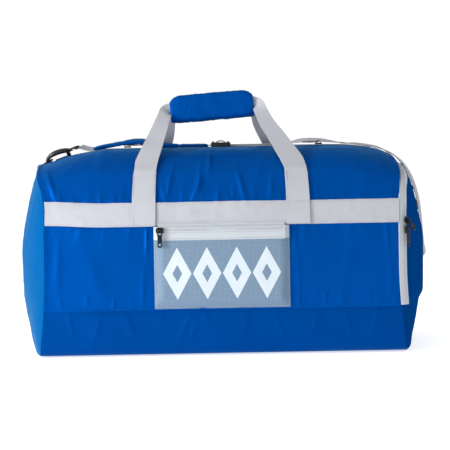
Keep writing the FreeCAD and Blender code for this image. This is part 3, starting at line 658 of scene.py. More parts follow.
def tape(name, col, dark, pitch=0.8, rough=0.7):
    m, nt, bs = mat_new(name)
    u, v = uv_mm(nt)
    h = weave_height(nt, u, v, pitch)
    # painted shade: the gaps between the threads are darker and the raised threads lighter
    c = mix_col(nt, math_node(nt, "MULTIPLY", h, 0.25), dark, col)
    c = mix_col(nt, math_node(nt, "MULTIPLY", noise_tex(nt, 40.0), 0.15), c, dark)
    nt.links.new(c, bs.inputs["Base Color"])
    bs.inputs["Roughness"].default_value = rough
    bs.inputs["Specular IOR Level"].default_value = 0.2
    bump(nt, h, 0.4, 0.00018, bs)
    return m


def plastic(name, col, rough=0.38, grain=0.35, spec=0.5):
    m, nt, bs = mat_new(name)
    n1 = noise_tex(nt, 900.0, 2.0)
    n2 = noise_tex(nt, 35.0, 3.0)
    nt.links.new(mix_col(nt, n2, col, tuple(min(1, c * 1.7 + 0.004) for c in col)), bs.inputs["Base Color"])
    r = math_node(nt, "ADD", math_node(nt, "MULTIPLY", n2, 0.2), rough - 0.1)
    nt.links.new(r, bs.inputs["Roughness"])
    bs.inputs["Specular IOR Level"].default_value = spec
    bump(nt, n1, grain, 0.00005, bs)
    return m


def metal(name, col, rough=0.3):
    m, nt, bs = mat_new(name)
    n2 = noise_tex(nt, 70.0, 4.0)
    nt.links.new(mix_col(nt, n2, col, tuple(c * 1.9 for c in col)), bs.inputs["Base Color"])
    bs.inputs["Metallic"].default_value = 0.75
    r = math_node(nt, "ADD", math_node(nt, "MULTIPLY", n2, 0.25), rough - 0.1)
    nt.links.new(r, bs.inputs["Roughness"])
    bump(nt, noise_tex(nt, 500.0, 2.0), 0.15, 0.00004, bs)
    return m


def mesh_cloth(name):
    """pale net over the blue fabric, with a printed row of plain lozenges"""
    m, nt, bs = mat_new(name)
    u, v = uv_mm(nt)
    p = math_node(nt, "ADD", u, v)
    q = math_node(nt, "SUBTRACT", u, v)
    k = 2 * math.pi / 4.0
    a = math_node(nt, "COSINE", math_node(nt, "MULTIPLY", p, k))
    b = math_node(nt, "COSINE", math_node(nt, "MULTIPLY", q, k))
    hole = math_node(nt, "MULTIPLY", math_node(nt, "ADD", a, 1.0), math_node(nt, "ADD", b, 1.0))     # 0..4
    hole = math_node(nt, "MULTIPLY", hole, 0.25)
    is_hole = math_node(nt, "GREATER_THAN", hole, 0.34)
    thread = srgb(126, 147, 165)
    # the holes are painted the blue of the fabric behind the net as it looks in shade: partly its real colour, partly
    # painted shade
    hole_blue_in_shade = srgb(66, 98, 132)
    c = mix_col(nt, is_hole, thread, hole_blue_in_shade)
    # the print: four lozenges in a row, each with an open middle
    W_, H_, V0 = 48.0, 42.0, 0.0
    cell = math_node(nt, "PINGPONG", math_node(nt, "ADD", u, 4 * W_ / 2 + W_ * 10), W_ / 2)      # 0 at the sides .. W/2 in the middle
    du = math_node(nt, "DIVIDE", math_node(nt, "SUBTRACT", W_ / 2, cell), W_ / 2 - 1.2)
    dv = math_node(nt, "DIVIDE", math_node(nt, "ABSOLUTE", math_node(nt, "SUBTRACT", v, V0)), H_)
    r = math_node(nt, "ADD", du, dv)
    inside = math_node(nt, "LESS_THAN", r, 1.0)
    middle = math_node(nt, "GREATER_THAN", r, 0.34)
    span = math_node(nt, "LESS_THAN", math_node(nt, "ABSOLUTE", u), 4 * W_ / 2)
    pr = math_node(nt, "MULTIPLY", math_node(nt, "MULTIPLY", inside, middle), span)
    # painted shade: the holes in the print are darkened a little the same way
    ink = mix_col(nt, math_node(nt, "MULTIPLY", is_hole, 0.18), srgb(204, 214, 221), srgb(120, 150, 180))
    c = mix_col(nt, pr, c, ink)
    nt.links.new(c, bs.inputs["Base Color"])
    bs.inputs["Roughness"].default_value = 0.6
    bs.inputs["Specular IOR Level"].default_value = 0.25
    h = math_node(nt, "SUBTRACT", 1.0, math_node(nt, "MULTIPLY", hole, math_node(nt, "SUBTRACT", 1.0, math_node(nt, "MULTIPLY", pr, 0.7))))
    bump(nt, h, 0.5, 0.0004, bs)
    return m


BLUE = fabric("blue_polyester", (0.0, 0.066, 0.325), (0.0, 0.047, 0.25), metal=0.26, spec=0.02, tint=(0.0, 1.0, 1.0), rough=0.42, sheen=0.04, sheen_tint=(0.0, 0.9, 1.0))
# painted light: the left end gets its own lighter, more cyan copy of the blue fabric, standing in for the light and
# sheen from the left
BLUE_END_PAINTED_LIGHT = fabric("blue_polyester_end_painted_light", (0.0, 0.088, 0.285), (0.0, 0.063, 0.22), metal=0.12, spec=0.01, tint=(0.0, 1.0, 1.0), rough=0.42, sheen=0.04, sheen_tint=(0.0, 0.9, 1.0))
# painted shade: the right end and its flap get a darker, duller copy of the blue fabric, standing in for the shade on
# that side
BLUE_SIDE_PAINTED_SHADE = fabric("blue_polyester_side_painted_shade", (0.0, 0.047, 0.225), (0.0, 0.034, 0.17), metal=0.05, spec=0.0, tint=(0.0, 1.0, 1.0), rough=0.5, sheen=0.0, sheen_tint=(0.0, 0.9, 1.0))
# painted shade: the base gets a darker copy of the blue fabric, standing in for the weaker light from below
BLUE_BASE_PAINTED_SHADE = fabric("blue_polyester_base_painted_shade", (0.0, 0.054, 0.266), (0.0, 0.038, 0.205), metal=0.22, spec=0.02, tint=(0.0, 1.0, 1.0), rough=0.42, sheen=0.04, sheen_tint=(0.0, 0.9, 1.0))
LINING = fabric("grey_lining", srgb(70, 76, 88), srgb(48, 52, 62), rough=0.6, tint=(1, 1, 1), sheen=0.0, pitch=0.8, spec=0.2)
WEB = webbing("white_webbing", srgb(183, 185, 192), srgb(149, 152, 160))
WTAPE = tape("white_zip_tape", srgb(206, 212, 216), srgb(181, 188, 194))
BTAPE = tape("black_zip_tape", srgb(30, 31, 34), srgb(14, 14, 16))
MESH = mesh_cloth("pocket_mesh")
BLACK = plastic("black_plastic", srgb(26, 26, 28))
BOARD = plastic("base_board", srgb(46, 48, 54), rough=0.6)
WCOIL = plastic("white_coil", srgb(190, 196, 202), rough=0.65, grain=0.1, spec=0.15)
BCOIL = plastic("black_coil", srgb(24, 24, 26), rough=0.35, grain=0.1)
METAL = metal("black_metal", srgb(28, 29, 32))
WTHREAD = tape("white_thread", srgb(212, 214, 220), srgb(176, 180, 188), pitch=0.5)
BTHREAD = fabric("blue_thread", (0.0, 0.075, 0.38), (0.0, 0.05, 0.30), pitch=0.4, metal=0.2)
HOOKT = tape("black_hook_tape", srgb(22, 22, 25), srgb(10, 10, 12), pitch=1.6, rough=0.9)


# ================================================================ the bag's fabric
T_FAB = 1.4
NX = 250


def body_grid(side, us, x_a=None, x_b=None, n=NX, off=0.0):
    """rows along the profile, columns along x; x_a and x_b default to the seams"""
    us = np.asarray(us, float)
    lim = limits(us)
    a = -lim + 0.2 if x_a is None else np.full(len(us), float(x_a))
    b = limits(us, True) - 0.2 if x_b is None else np.full(len(us), float(x_b))
    f = np.linspace(0, 1, n)[None, :]
    X = a[:, None] + (b - a)[:, None] * f
    U = np.broadcast_to(us[:, None], X.shape)
    P, N = skin(U, X, side, off)
    return P, N


def u_rows(u0, u1, step_mm):
    us = np.linspace(u0, u1, 400)
    yz = catmull(PROFILE, us)
    s = np.concatenate([[0], np.cumsum(np.linalg.norm(np.diff(yz, axis=0), axis=1))])
    n = max(3, int(s[-1] / step_mm) + 1)
    return np.interp(np.linspace(0, s[-1], n), s, us)


ROW = 2.6


def blue_piece(ob):
    return ob


us = u_rows(5, 12, ROW)
front = shell("bag_front_panel", body_grid(-1, us)[0], T_FAB, [BLUE, LINING], (0, -1, 0))
rear = shell("bag_rear_panel", body_grid(1, us)[0], T_FAB, [BLUE, LINING], (0, 1, 0))
us = u_rows(0, 5, ROW * 1.5)
Pf, Pr = body_grid(-1, us)[0], body_grid(1, us)[0]
# painted shade: the base uses the shaded copy of the blue fabric
base = shell("bag_base", np.concatenate([Pf[::-1], Pr[1:]]), T_FAB, [BLUE_BASE_PAINTED_SHADE, LINING], (0, 0, -1))
us_top = u_rows(12, 16, ROW)
rear_top = shell("bag_rear_top", body_grid(1, us_top)[0], T_FAB, [BLUE, LINING], (0, 0.3, 1))
lim = limits(us_top)


def half_top(name, sgn):
    f = np.linspace(0, 1, NX // 2 + 1)[None, :]
    lm = limits(us_top, True) if sgn > 0 else lim
    X = sgn * (lm[:, None] - 0.2) * (1 - f) + 0.0 * f
    X = np.sort(X, 1)
    P, _ = skin(np.broadcast_to(us_top[:, None], X.shape), X, -1, 0.0)
    return shell(name, P, T_FAB, [BLUE, LINING], (0, -0.3, 1))


top_l, top_r = half_top("bag_front_top_left", -1), half_top("bag_front_top_right", 1)
for o, nodes in ((front, ["front_panel"]), (rear, ["rear_panel"]), (base, ["bottom_panel"]), (rear_top, ["rear_top_panel"])):
    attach(blue_piece(o), "root")
    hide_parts(*nodes)
for o, s in ((top_l, -1), (top_r, 1)):
    blue_piece(o)
    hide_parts("front_top_flap", "front_top_corners")
    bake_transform(o)


# ---------------------------------------------------------------- closing strips past the ends of the main zip
def bridge(name, sgn):
    x0 = 262.5
    x1 = float((seam_rf if sgn > 0 else seam_f)(340.0)) - 0.4
    xs = np.linspace(x0, x1, 20)
    ys = np.linspace(-14.2, 14.2, 9)
    X, Y = np.meshgrid(xs, ys)
    t = (Y + 14.2) / 28.4
    Z = lift(sgn * X, 340.6 - 1.0 * t) + 0.2
    P = np.stack([sgn * X, Y, Z], -1)
    o = shell(name, P, T_FAB, [BLUE, LINING], (0, 0, 1))
    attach(blue_piece(o), "root")
    return o


bridge("bag_top_end_left", -1)
bridge("bag_top_end_right", 1)


# ---------------------------------------------------------------- ends
def end_folds(y, z, seed):
    d = 2.6 * vnoise(y, z, seed, 80.0) + 1.2 * vnoise(y + 0.4 * z, z, seed + 1, 34.0) + 0.4 * vnoise(y, z, seed + 2, 13.0)
    for y0, z0, w, l, a, sl in ((-70, 150, 10, 50, 1.8, 0.15), (60, 180, 12, 45, 1.6, -0.2), (-20, 90, 30, 12, 2.0, 0.6),
                                (90, 100, 26, 10, 1.8, -0.5), (-100, 230, 8, 30, 1.6, -0.2), (100, 240, 8, 30, 1.4, 0.2)):
        d = d + a * np.exp(-((y - y0 - sl * (z - z0)) / w) ** 2) * np.exp(-((z - z0) / l) ** 2)
    return d


def left_end():
    us = u_rows(2.05, 16, ROW * 1.2)
    yz = catmull(PROFILE, us)
    w, z = -yz[:, 0], np.maximum(yz[:, 1], 0)
    t = np.sin(np.linspace(-1, 1, 90) * math.pi / 2)
    Y = w[:, None] * t[None, :]
    Z0 = np.broadcast_to(z[:, None], Y.shape)
    edge = 1 - t[None, :] ** 2
    d = end_folds(Y, Z0, 31) * np.minimum(1, edge * 4) * (sstep(0, 20, Z0)) * (1 - 0.7 * sstep(310, 330, Z0))
    X = -(seam_f(Z0) + bulge_f(Z0) * edge ** 0.85 + d * 0.7)
    # the rim is pressed down a little under the ring
    low = 1.1 * np.exp(-((Y - 46.0) / 34.0) ** 2) * sstep(318, 335, Z0)
    P = np.stack([X + low * 0.6, Y, lift(-309.0, Z0) - low], -1)
    # painted light: the left end panel uses the lit copy of the blue fabric
    o = shell("bag_left_end", P, T_FAB, [BLUE_END_PAINTED_LIGHT, LINING], (-1, 0, 0))
    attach(blue_piece(o), "root")
    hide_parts("left_end_panel")
    return P


P_LEFT = left_end()


def outline_in(u, ins):
    """the outline stepped inwards along its own normal"""
    u = np.asarray(u, float)
    p = catmull(PROFILE, u)
    d = catmull(PROFILE, np.clip(u + 0.05, 0, 16)) - catmull(PROFILE, np.clip(u - 0.05, 0, 16))
    d = unit(d)
    n = np.stack([-d[..., 1], d[..., 0]], -1)       # outwards on the front
    k = sstep(15.4, 16, u)[..., None]
    n = unit(n * (1 - k) + np.array([0.0, 1.0]) * k)
    return p - n * np.asarray(ins)[..., None], n


def rim(u, phi, off=0.0, side=-1):
    """the rounded edge that carries the end zip"""
    u, phi = np.broadcast_arrays(np.asarray(u, float), np.asarray(phi, float))
    a = np.radians(phi)
    ins = INS * (1 - np.cos(a)) - off * np.cos(a)
    p, n = outline_in(u, ins)
    z0 = np.maximum(catmull(PROFILE, u)[..., 1], 0)
    x = seam_rf(z0) + (RUN + off) * np.sin(a)
    y = p[..., 0] * (1 if side < 0 else -1)
    return np.stack([x, y, lift(309.0, p[..., 1])], -1)


def right_grid(us, tcols):
    """the end panel inside the zip; below the zip's ends it spreads to the full outline"""
    z0 = np.maximum(catmull(PROFILE, us)[:, 1], 0)
    s = sstep(76, 90, z0)
    p, _ = outline_in(us, (INS + 0.3) * s)
    w, z = -p[:, 0], p[:, 1]
    t = tcols if np.ndim(tcols) == 2 else np.broadcast_to(tcols[None, :], (len(us), len(tcols)))
    Y = w[:, None] * t
    Z0 = np.broadcast_to(np.maximum(z, 0)[:, None], Y.shape)
    edge = 1 - t ** 2
    d = end_folds(Y, Z0, 41) * np.minimum(1, edge * 4) * sstep(0, 20, Z0) * (1 - 0.8 * sstep(300, 325, Z0)) * 0.7
    b = (bulge_f(z0) + seam_f(z0) - seam_rf(z0))[:, None]
    X = seam_rf(z0)[:, None] + RUN * s[:, None] + (b - 8 * s[:, None]).clip(0.5) * edge ** 0.9 + d
    return np.stack([X, Y, lift(309.0, Z0)], -1), w, z


def diag_y(z):
    hin = 154.6 - INS - 1.2
    return np.clip((-hin + 4) + (-8 + hin - 4) * (z - 84) / (325 - 84), -hin - 20, -8)


us = u_rows(2.05, 16, ROW * 1.2)
_, w_, z_ = right_grid(us, np.linspace(-1, 1, 5))
td = np.clip(diag_y(z_) / w_, -1, 1)
lowest = z_ < 84
td = np.where(lowest, -1.0, td)
nn = 70
f = (1 - np.cos(np.linspace(0, 1, nn) * math.pi)) / 2
T = td[:, None] + (1 - td[:, None]) * f[None, :]
PR, _, _ = right_grid(us, T)
# painted shade: the right end panel uses the shaded copy of the blue fabric
right_end = shell("bag_right_end", PR, T_FAB, [BLUE_SIDE_PAINTED_SHADE, LINING], (1, 0, 0))
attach(blue_piece(right_end), "root")
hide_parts("right_end_lower_panel", "right_end_panel", "end_flap_hinge_strip")
us2 = us[(z_ >= 84) & (td > -0.999)]
td2 = td[(z_ >= 84) & (td > -0.999)]
T = -1 + (td2[:, None] + 1) * f[None, :]
PF, _, _ = right_grid(us2, T)
# painted shade: the end flap uses the shaded copy of the blue fabric too
flap = shell("bag_end_flap", PF, T_FAB, [BLUE_SIDE_PAINTED_SHADE, LINING], (1, 0, 0))
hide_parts("end_flap")
blue_piece(flap)
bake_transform(flap)

# ---------------------------------------------------------------- the end zip
U_ALL = u_rows(5.05, 16, ROW)


def rim_piece(name, phis, u_f, u_r, t, mats):
    seq_u = np.concatenate([u_f, u_r[::-1]]) if len(u_r) else u_f
    sd = np.concatenate([-np.ones(len(u_f)), np.ones(len(u_r))]) if len(u_r) else -np.ones(len(u_f))
    rows = []
    for u, s in zip(seq_u, sd):
        rows.append(rim(np.full(len(phis), u), np.array(phis, float), 0.6, int(s)))
    P = np.array(rows)
    P[..., 2] = np.maximum(P[..., 2], 76.0)
    return tape_shell(name, P, t, mats)


def tape_shell(name, P, t, mats):
    """closed strip whose outward side is away from the bag's middle"""
    N = grid_normals(P)
    c = P - np.array([100.0, 0.0, 170.0])
    if np.mean(np.sum(N * c, -1)) < 0:
        P = P[:, ::-1]
    return shell(name, P, t, mats, tuple(np.mean(grid_normals(P), axis=(0, 1)) if np.linalg.norm(np.mean(grid_normals(P), axis=(0, 1))) > 0.05 else (1, 0, 0)))


outer_tape = rim_piece("end_zip_tape_outer", np.linspace(-6, 41, 9), U_ALL, U_ALL, 1.1, [WTAPE])
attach(outer_tape or outer_tape, "root")
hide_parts("end_zip_outer_tape")
u_front = U_ALL[U_ALL <= 14.2]
u_back = U_ALL
inner_f = rim_piece("end_zip_tape_inner_front", np.linspace(50, 86, 7), U_ALL[U_ALL < 15.0], [], 1.1, [WTAPE])
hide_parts("end_zip_inner_tape_front")
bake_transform(inner_f)
inner_r = rim_piece("end_zip_tape_inner_rear", np.linspace(50, 86, 7), U_ALL[U_ALL >= 15.0], U_ALL, 1.1, [WTAPE])
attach(inner_r, "root")
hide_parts("end_zip_inner_tape_rear")


def coil(name, pts, nrm, across, mat, pitch=1.7, w=1.5, h=0.55):
    """a chain of single zip coils along pts"""
    pts, nrm, across = (np.asarray(a, float) for a in (pts, nrm, across))
    if nrm.ndim == 1:
        nrm = np.tile(nrm, (len(pts), 1))
    if across.ndim == 1:
        across = np.tile(across, (len(pts), 1))
    s = np.concatenate([[0], np.cumsum(np.linalg.norm(np.diff(pts, axis=0), axis=1))])
    c = np.arange(pitch / 2, s[-1], pitch)
    at = lambda a: np.stack([np.interp(c, s, a[:, j]) for j in range(3)], -1)
    p, n, b = at(pts), unit(at(nrm)), unit(at(across))
    t = unit(np.cross(b, n))
    V_, F_ = [], []
    sec = [(1, 0), (0.7, 0.7), (0, 1), (-0.7, 0.7), (-1, 0)]
    for i in range(len(c)):
        k = len(V_)
        for e in (-1, 1):
            sh = 0.18 * pitch * e
            for x, y in sec:
                V_.append(p[i] + b[i] * e * w + t[i] * (x * pitch * 0.34 + sh) + n[i] * y * h)
        for j in range(4):
            F_.append((k + j, k + j + 1, k + 6 + j, k + 5 + j))
        F_.append((k, k + 5, k + 9, k + 4))
        F_.append((k + 4, k + 3, k + 2, k + 1, k))
        F_.append((k + 5, k + 6, k + 7, k + 8, k + 9))
    ob = new_mesh(name, np.array(V_), F_, None, [mat])
    fix_normals(ob)
    return ob


seq = [(u, -1) for u in U_ALL] + [(u, 1) for u in U_ALL[::-1]]
pt = np.array([rim(u, 45.5, 0.2, s) for u, s in seq])
p2 = np.array([rim(u, 45.5, 1.4, s) for u, s in seq])
p3 = np.array([rim(u, 52.0, 0.2, s) for u, s in seq])
for a in (pt, p2, p3):
    a[:, 2] = np.maximum(a[:, 2], 77.0)
teeth = coil("end_zip_coil", pt, p2 - pt, p3 - pt, WCOIL)
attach(teeth, "root")
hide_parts("end_zip_teeth")


# ---------------------------------------------------------------- the main zip
def zip_strip(name, y0, y1, dz, x0, x1, mat, t=0.9):
    xs = np.linspace(x0, x1, max(8, int(abs(x1 - x0) / 4)))
    ys = np.linspace(y0, y1, 4)
    X, Y = np.meshgrid(xs, ys)
    Z = lift(X, 341.0) + dz
    return shell(name, np.stack([X, Y, Z], -1), t, [mat], (0, 0, 1))


rt = zip_strip("main_zip_tape_rear", 1.2, 14.6, -0.35, -262, 262, BTAPE)
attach(rt, "root")
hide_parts("main_zip_rear_tape")
xs = np.linspace(-262, 262, 200)
rc = coil("main_zip_coil_rear", np.stack([xs, 0 * xs + 0.75, lift(xs, 341.0) - 0.9], -1), (0, 0, 1), (0, 1, 0), BCOIL, w=0.72, h=0.9)
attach(rc, "root")
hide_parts("main_zip_rear_teeth")
for nm, s in (("left", -1), ("right", 1)):
    a, b = sorted((s * 262.0, 0.0))
    ft = zip_strip("main_zip_tape_front_" + nm, -14.6, -1.2, -0.35, a, b, BTAPE)
    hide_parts("main_zip_front_tape")
    xs = np.linspace(a, b, 100)
    fc = coil("main_zip_coil_front_" + nm, np.stack([xs, 0 * xs - 0.75, lift(xs, 341.0) - 0.9], -1), (0, 0, 1), (0, 1, 0), BCOIL, w=0.72, h=0.9)
    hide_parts("main_zip_front_teeth")
    for o in (ft, fc):
        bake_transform(o)


# ================================================================ webbing sewn to the panels
def band_piece(name, side, node_name):
    u0, u1 = z_to_u(211), z_to_u(249)
    us = np.linspace(u0, u1, 12)
    lim = limits(us) - 2.0
    limr = limits(us, True) - 0.6
    n = 200
    f = np.linspace(0, 1, n)
    X = -lim[:, None] + (lim + limr)[:, None] * f[None, :]
    U = np.broadcast_to(us[:, None], X.shape)
    P, N = skin(U, X, side, 1.75, 0.9)
    wob = 0.55 * vnoise(X, U * 20, 51 + side, 26.0) + 0.35 * vnoise(X, U * 20, 53 + side, 9.0)
    edge = np.clip((lim[:, None] - np.abs(X)) / 20, 0, 1)
    P = P + N * (np.clip(wob, -0.6, 1.0) * edge)[..., None]
    P[..., 2] += band_rise(side, X)
    o = shell(name, P, WEB_T, [WEB], (0, side, 0))
    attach(o, "root")
    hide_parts(node_name)
    return o


band_piece("band_front", -1, "front_band")
band_piece("band_rear", 1, "rear_band")


# ================================================================ handles
GC, GT = (-13.2, 0.0, 411.0), math.tan(math.radians(4.0))
tilt = lambda x: (x - GC[0]) * GT


def handle(name, side, node_name):
    s = side
    left = [(-125, 120.4, 301.1), (-125, 116.9, 304.6), (-121, 104, 317), (-114.5, 85, 336), (-107, 63, 357), (-100, 42, 377), (-94.5, 22, 394), (-89.5, 8.6, 404.5)]
    right = [(125, 120.4, 301.1), (125, 116.9, 304.6), (118, 104, 317), (107, 85, 336), (94, 63, 358), (80, 42, 380), (71, 22, 400), (64, 8.6, 413.5)]
    mid = [(x, 7.5, 411 + tilt(x)) for x in (-68, -40, -13, 15, 42)]
    pts = left + mid + right[::-1]
    path = np.array([(x, s * y, z) for x, y, z in pts], float)
    m = len(path)
    if s > 0:
        for k, dx in enumerate((0, 0, 3, 7, 9, 8, 5, 1)):
            path[k, 0] += dx
            path[m - 1 - k, 0] -= dx
    tan = unit(np.gradient(path, axis=0))
    wd, hw = [], []
    for k in range(m):
        nn = np.array([0, 0.71 * s, 0.705])
        if 6 < k < m - 7:
            nn = np.array([0, 1.0 * s, 0])
        elif k in (6, m - 7):
            nn = np.array([0, 0.9 * s, 0.43])
        w = unit(np.cross(nn, tan[k]))
        if k in (0, m - 1):
            w = np.array([-1.0 if k == 0 else 1.0, 0, 0])
        if k and np.dot(w, wd[-1]) < 0:
            w = -w
        wd.append(w)
        e = min(k, m - 1 - k)
        hw.append([19, 19, 18.5, 17, 15, 13, 11.5, 11][e] if e < 8 else 11)
    th = [0.8 if h > 17.5 else (1.1 if h > 13.5 else 1.5) for h in hw]
    # each leg runs on down the panel to the bottom of the band, as one length of webbing
    us = np.linspace(z_to_u(211.3), z_to_u(292), 7)
    legs = {}
    for sg in (-1, 1):
        lean = np.array([0, 0, 0, 0, 0.15, 0.5, 1.0]) * 1.6
        legs[sg] = skin(us, sg * (HANDLE_X - lean), side, 2.9, 0.6)[0]
    flatw = lambda sg: np.tile(np.array([float(sg), 0, 0]), (7, 1))
    full = np.vstack([legs[-1], path, legs[1][::-1]])
    wda = np.vstack([flatw(-1), np.array(wd), np.tile(wd[-1], (7, 1))])
    hw[0] = hw[-1] = 18.2
    hw[1] = hw[-2] = 18.0
    path[0, 0], path[-1, 0] = -123.0, 123.0
    path[1, 0], path[-2, 0] = -122.6, 122.4
    run = [19, 19, 19, 19, 19, 18.8, 18.4]
    full = np.vstack([legs[-1], path, legs[1][::-1]])
    hwa = np.concatenate([run, hw, run[::-1]])
    tha = np.concatenate([np.full(7, 0.8), th, np.full(7, 0.8)])
    ex = np.column_stack([wda, hwa, tha])
    P, E = smooth_path(full, 3.0, ex)
    o = sweep(name, P, E[:, :3], E[:, 3], E[:, 4], web_section(14), [WEB], ripple=0.55, seed=70 + s)
    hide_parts(*node_name)
    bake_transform(o)
    return P, E


HF = handle("handle_front", -1, ("front_handle_webbing", "front_handle_sewn_legs"))
HR = handle("handle_rear", 1, ("rear_handle_webbing", "rear_handle_sewn_legs"))


def grip_leaf(name, side, node_name):
    """half of the padded wrap: a C-shaped leaf, quilted between its stitch rows"""
    h, d, L = 23.0, 16.0, 144.0
    # centre line of the C in (y, z), from the top lip over the face to the bottom lip
    cen = np.array([(1.2, h - 2.3), (6, h - 2.1), (10.5, h - 3.6), (13.2, h - 8), (13.9, 6), (13.9, -6), (13.2, -h + 8), (10.5, -h + 3.6), (6, -h + 2.1), (1.2, -h + 2.3)])
    C = smooth_path(np.column_stack([cen, np.zeros(len(cen))]), 1.6)[:, :2]
    tg = unit(np.gradient(C, axis=0))
    nr = np.stack([tg[:, 1], -tg[:, 0]], -1)
    if nr[len(nr) // 2, 0] < 0:
        nr = -nr
    s = np.concatenate([[0], np.cumsum(np.linalg.norm(np.diff(C, axis=0), axis=1))])
    s = s / s[-1]
    nx = 90
    xs = np.linspace(-L / 2, L / 2, nx)
    X, S = np.meshgrid(xs, s, indexing="ij")
    # thickness: full in the middle of each quilted row, pinched at the stitches and at the ends
    end = np.clip((L / 2 - np.abs(X)) / 7.0, 0, 1)
    puff = 0.35 + 0.65 * np.sqrt(end * (2 - end))
    pin = np.zeros_like(S)
    for s0 in (0.10, 0.36, 0.90):
        pin = np.maximum(pin, np.exp(-((S - s0) / 0.028) ** 2))
    wr = 1.1 * vnoise(X, S * 60, 80 + side, 14.0) + 1.0 * vnoise(X + S * 20, S * 22, 84 + side, 5.0)
    T = 2.15 * puff * (1 - 0.55 * pin) + 0.45 * wr * puff
    T = np.clip(T, 0.5, 2.9)
    Yc, Zc = C[:, 0][None, :] + 0 * X, C[:, 1][None, :] + 0 * X
    e_ = np.clip(1 - (L / 2 - np.abs(X)) / 16.0, 0, 1)
    upn = np.clip(Zc / 23.0, -1, 1)
    e_ = np.clip(1 - (L / 2 - np.abs(X)) / 21.0, 0, 1)
    Zc = Zc - 10.0 * e_ ** 2.2 * np.clip(upn, 0, 1) + 1.6 * e_ ** 2 * np.clip(-upn, 0, 1) - 1.6 * np.clip(-upn, 0, 1)
    Yc = Yc * (1 - 0.10 * e_ ** 2) + 0.9 * vnoise(X, S * 62, 88 + side, 26.0) * (S > 0.12) * (S < 0.9)
    out_ = np.stack([X, Yc + nr[None, :, 0] * T, Zc + nr[None, :, 1] * T], -1)
    inn = np.stack([X, Yc - nr[None, :, 0] * T * 0.7, Zc - nr[None, :, 1] * T * 0.7], -1)
    out_[..., 1] = np.maximum(out_[..., 1], 0.35)
    inn[..., 1] = np.maximum(inn[..., 1], 0.35)
    m, n = X.shape
    ca, sa = math.cos(math.radians(4)), math.sin(math.radians(4))
    verts = np.concatenate([out_.reshape(-1, 3), inn.reshape(-1, 3)])
    v = verts.copy()
    v[:, 0] = verts[:, 0] * ca - verts[:, 2] * sa + GC[0]
    v[:, 2] = verts[:, 0] * sa + verts[:, 2] * ca + GC[2]
    v[:, 1] = side * verts[:, 1]
    idx = np.arange(m * n).reshape(m, n)
    a, b, c, e = idx[:-1, :-1].ravel(), idx[:-1, 1:].ravel(), idx[1:, 1:].ravel(), idx[1:, :-1].ravel()
    o1 = np.stack([a, b, c, e], 1)
    k = m * n
    rimv = np.concatenate([idx[0, :], idx[1:, -1], idx[-1, :-1][::-1], idx[1:-1, 0][::-1]])
    r1 = np.roll(rimv, -1)
    faces = np.concatenate([o1, o1[:, ::-1] + k, np.stack([rimv, rimv + k, r1 + k, r1], 1)])
    uv = np.stack([X, S * 62], -1).reshape(-1, 2)
    o = new_mesh(name, v, faces, np.concatenate([uv, uv]), [BLUE])
    fix_normals(o)
    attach(o, "front_handle" if side < 0 else "rear_handle")
    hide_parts(node_name)
    lines = []
    for s0, tt in ((0.10, 0.9), (0.36, 0.8), (0.90, 0.9)):
        j = int(np.argmin(np.abs(s - s0)))
        P = out_[2:-2, j]
        Q = P.copy()
        Q[:, 0] = P[:, 0] * ca - P[:, 2] * sa + GC[0]
        Q[:, 2] = P[:, 0] * sa + P[:, 2] * ca + GC[2]
        Q[:, 1] = side * P[:, 1]
        nv = np.array([0, side * nr[j, 0], nr[j, 1]])
        lines.append((Q, nv))
    st = stitches(name + "_stitching", lines, BTHREAD, pitch=3.2)
    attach(st, "front_handle" if side < 0 else "rear_handle")
    return o


grip_leaf("grip_leaf_front", -1, "grip_front_leaf")
grip_leaf("grip_leaf_rear", 1, "grip_rear_leaf")


def grip_tape(name, side, node_name, body):
    y0, y1 = (-7.2, -1.2) if side < 0 else (1.2, 7.2)
    xs = np.linspace(-66, 66, 60)
    ys = np.linspace(y0, y1, 5)
    X, Y = np.meshgrid(xs, ys)
    Z = 17.5 + 0.15 * vnoise(X, Y, 90, 7.0)
    ca, sa = math.cos(math.radians(4)), math.sin(math.radians(4))
    P = np.stack([X * ca - Z * sa + GC[0], Y, X * sa + Z * ca + GC[2]], -1)
    o = shell(name, P, 0.8, [HOOKT], (0, 0, 1))
    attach(o, body)
    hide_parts(node_name)
    return o


for nm, s, nd, bd in (("grip_tape_hook", -1, "grip_hook_tape", "front_handle"), ("grip_tape_loop", 1, "grip_loop_tape", "rear_handle")):
    grip_tape(nm, s, nd, bd)


# ================================================================ front pocket
def face_y(z):
    return catmull(PROFILE, z_to_u(z))[..., 0]


TY = float(np.interp(189.0, [175, 211], [-154, -151])) - 8.2


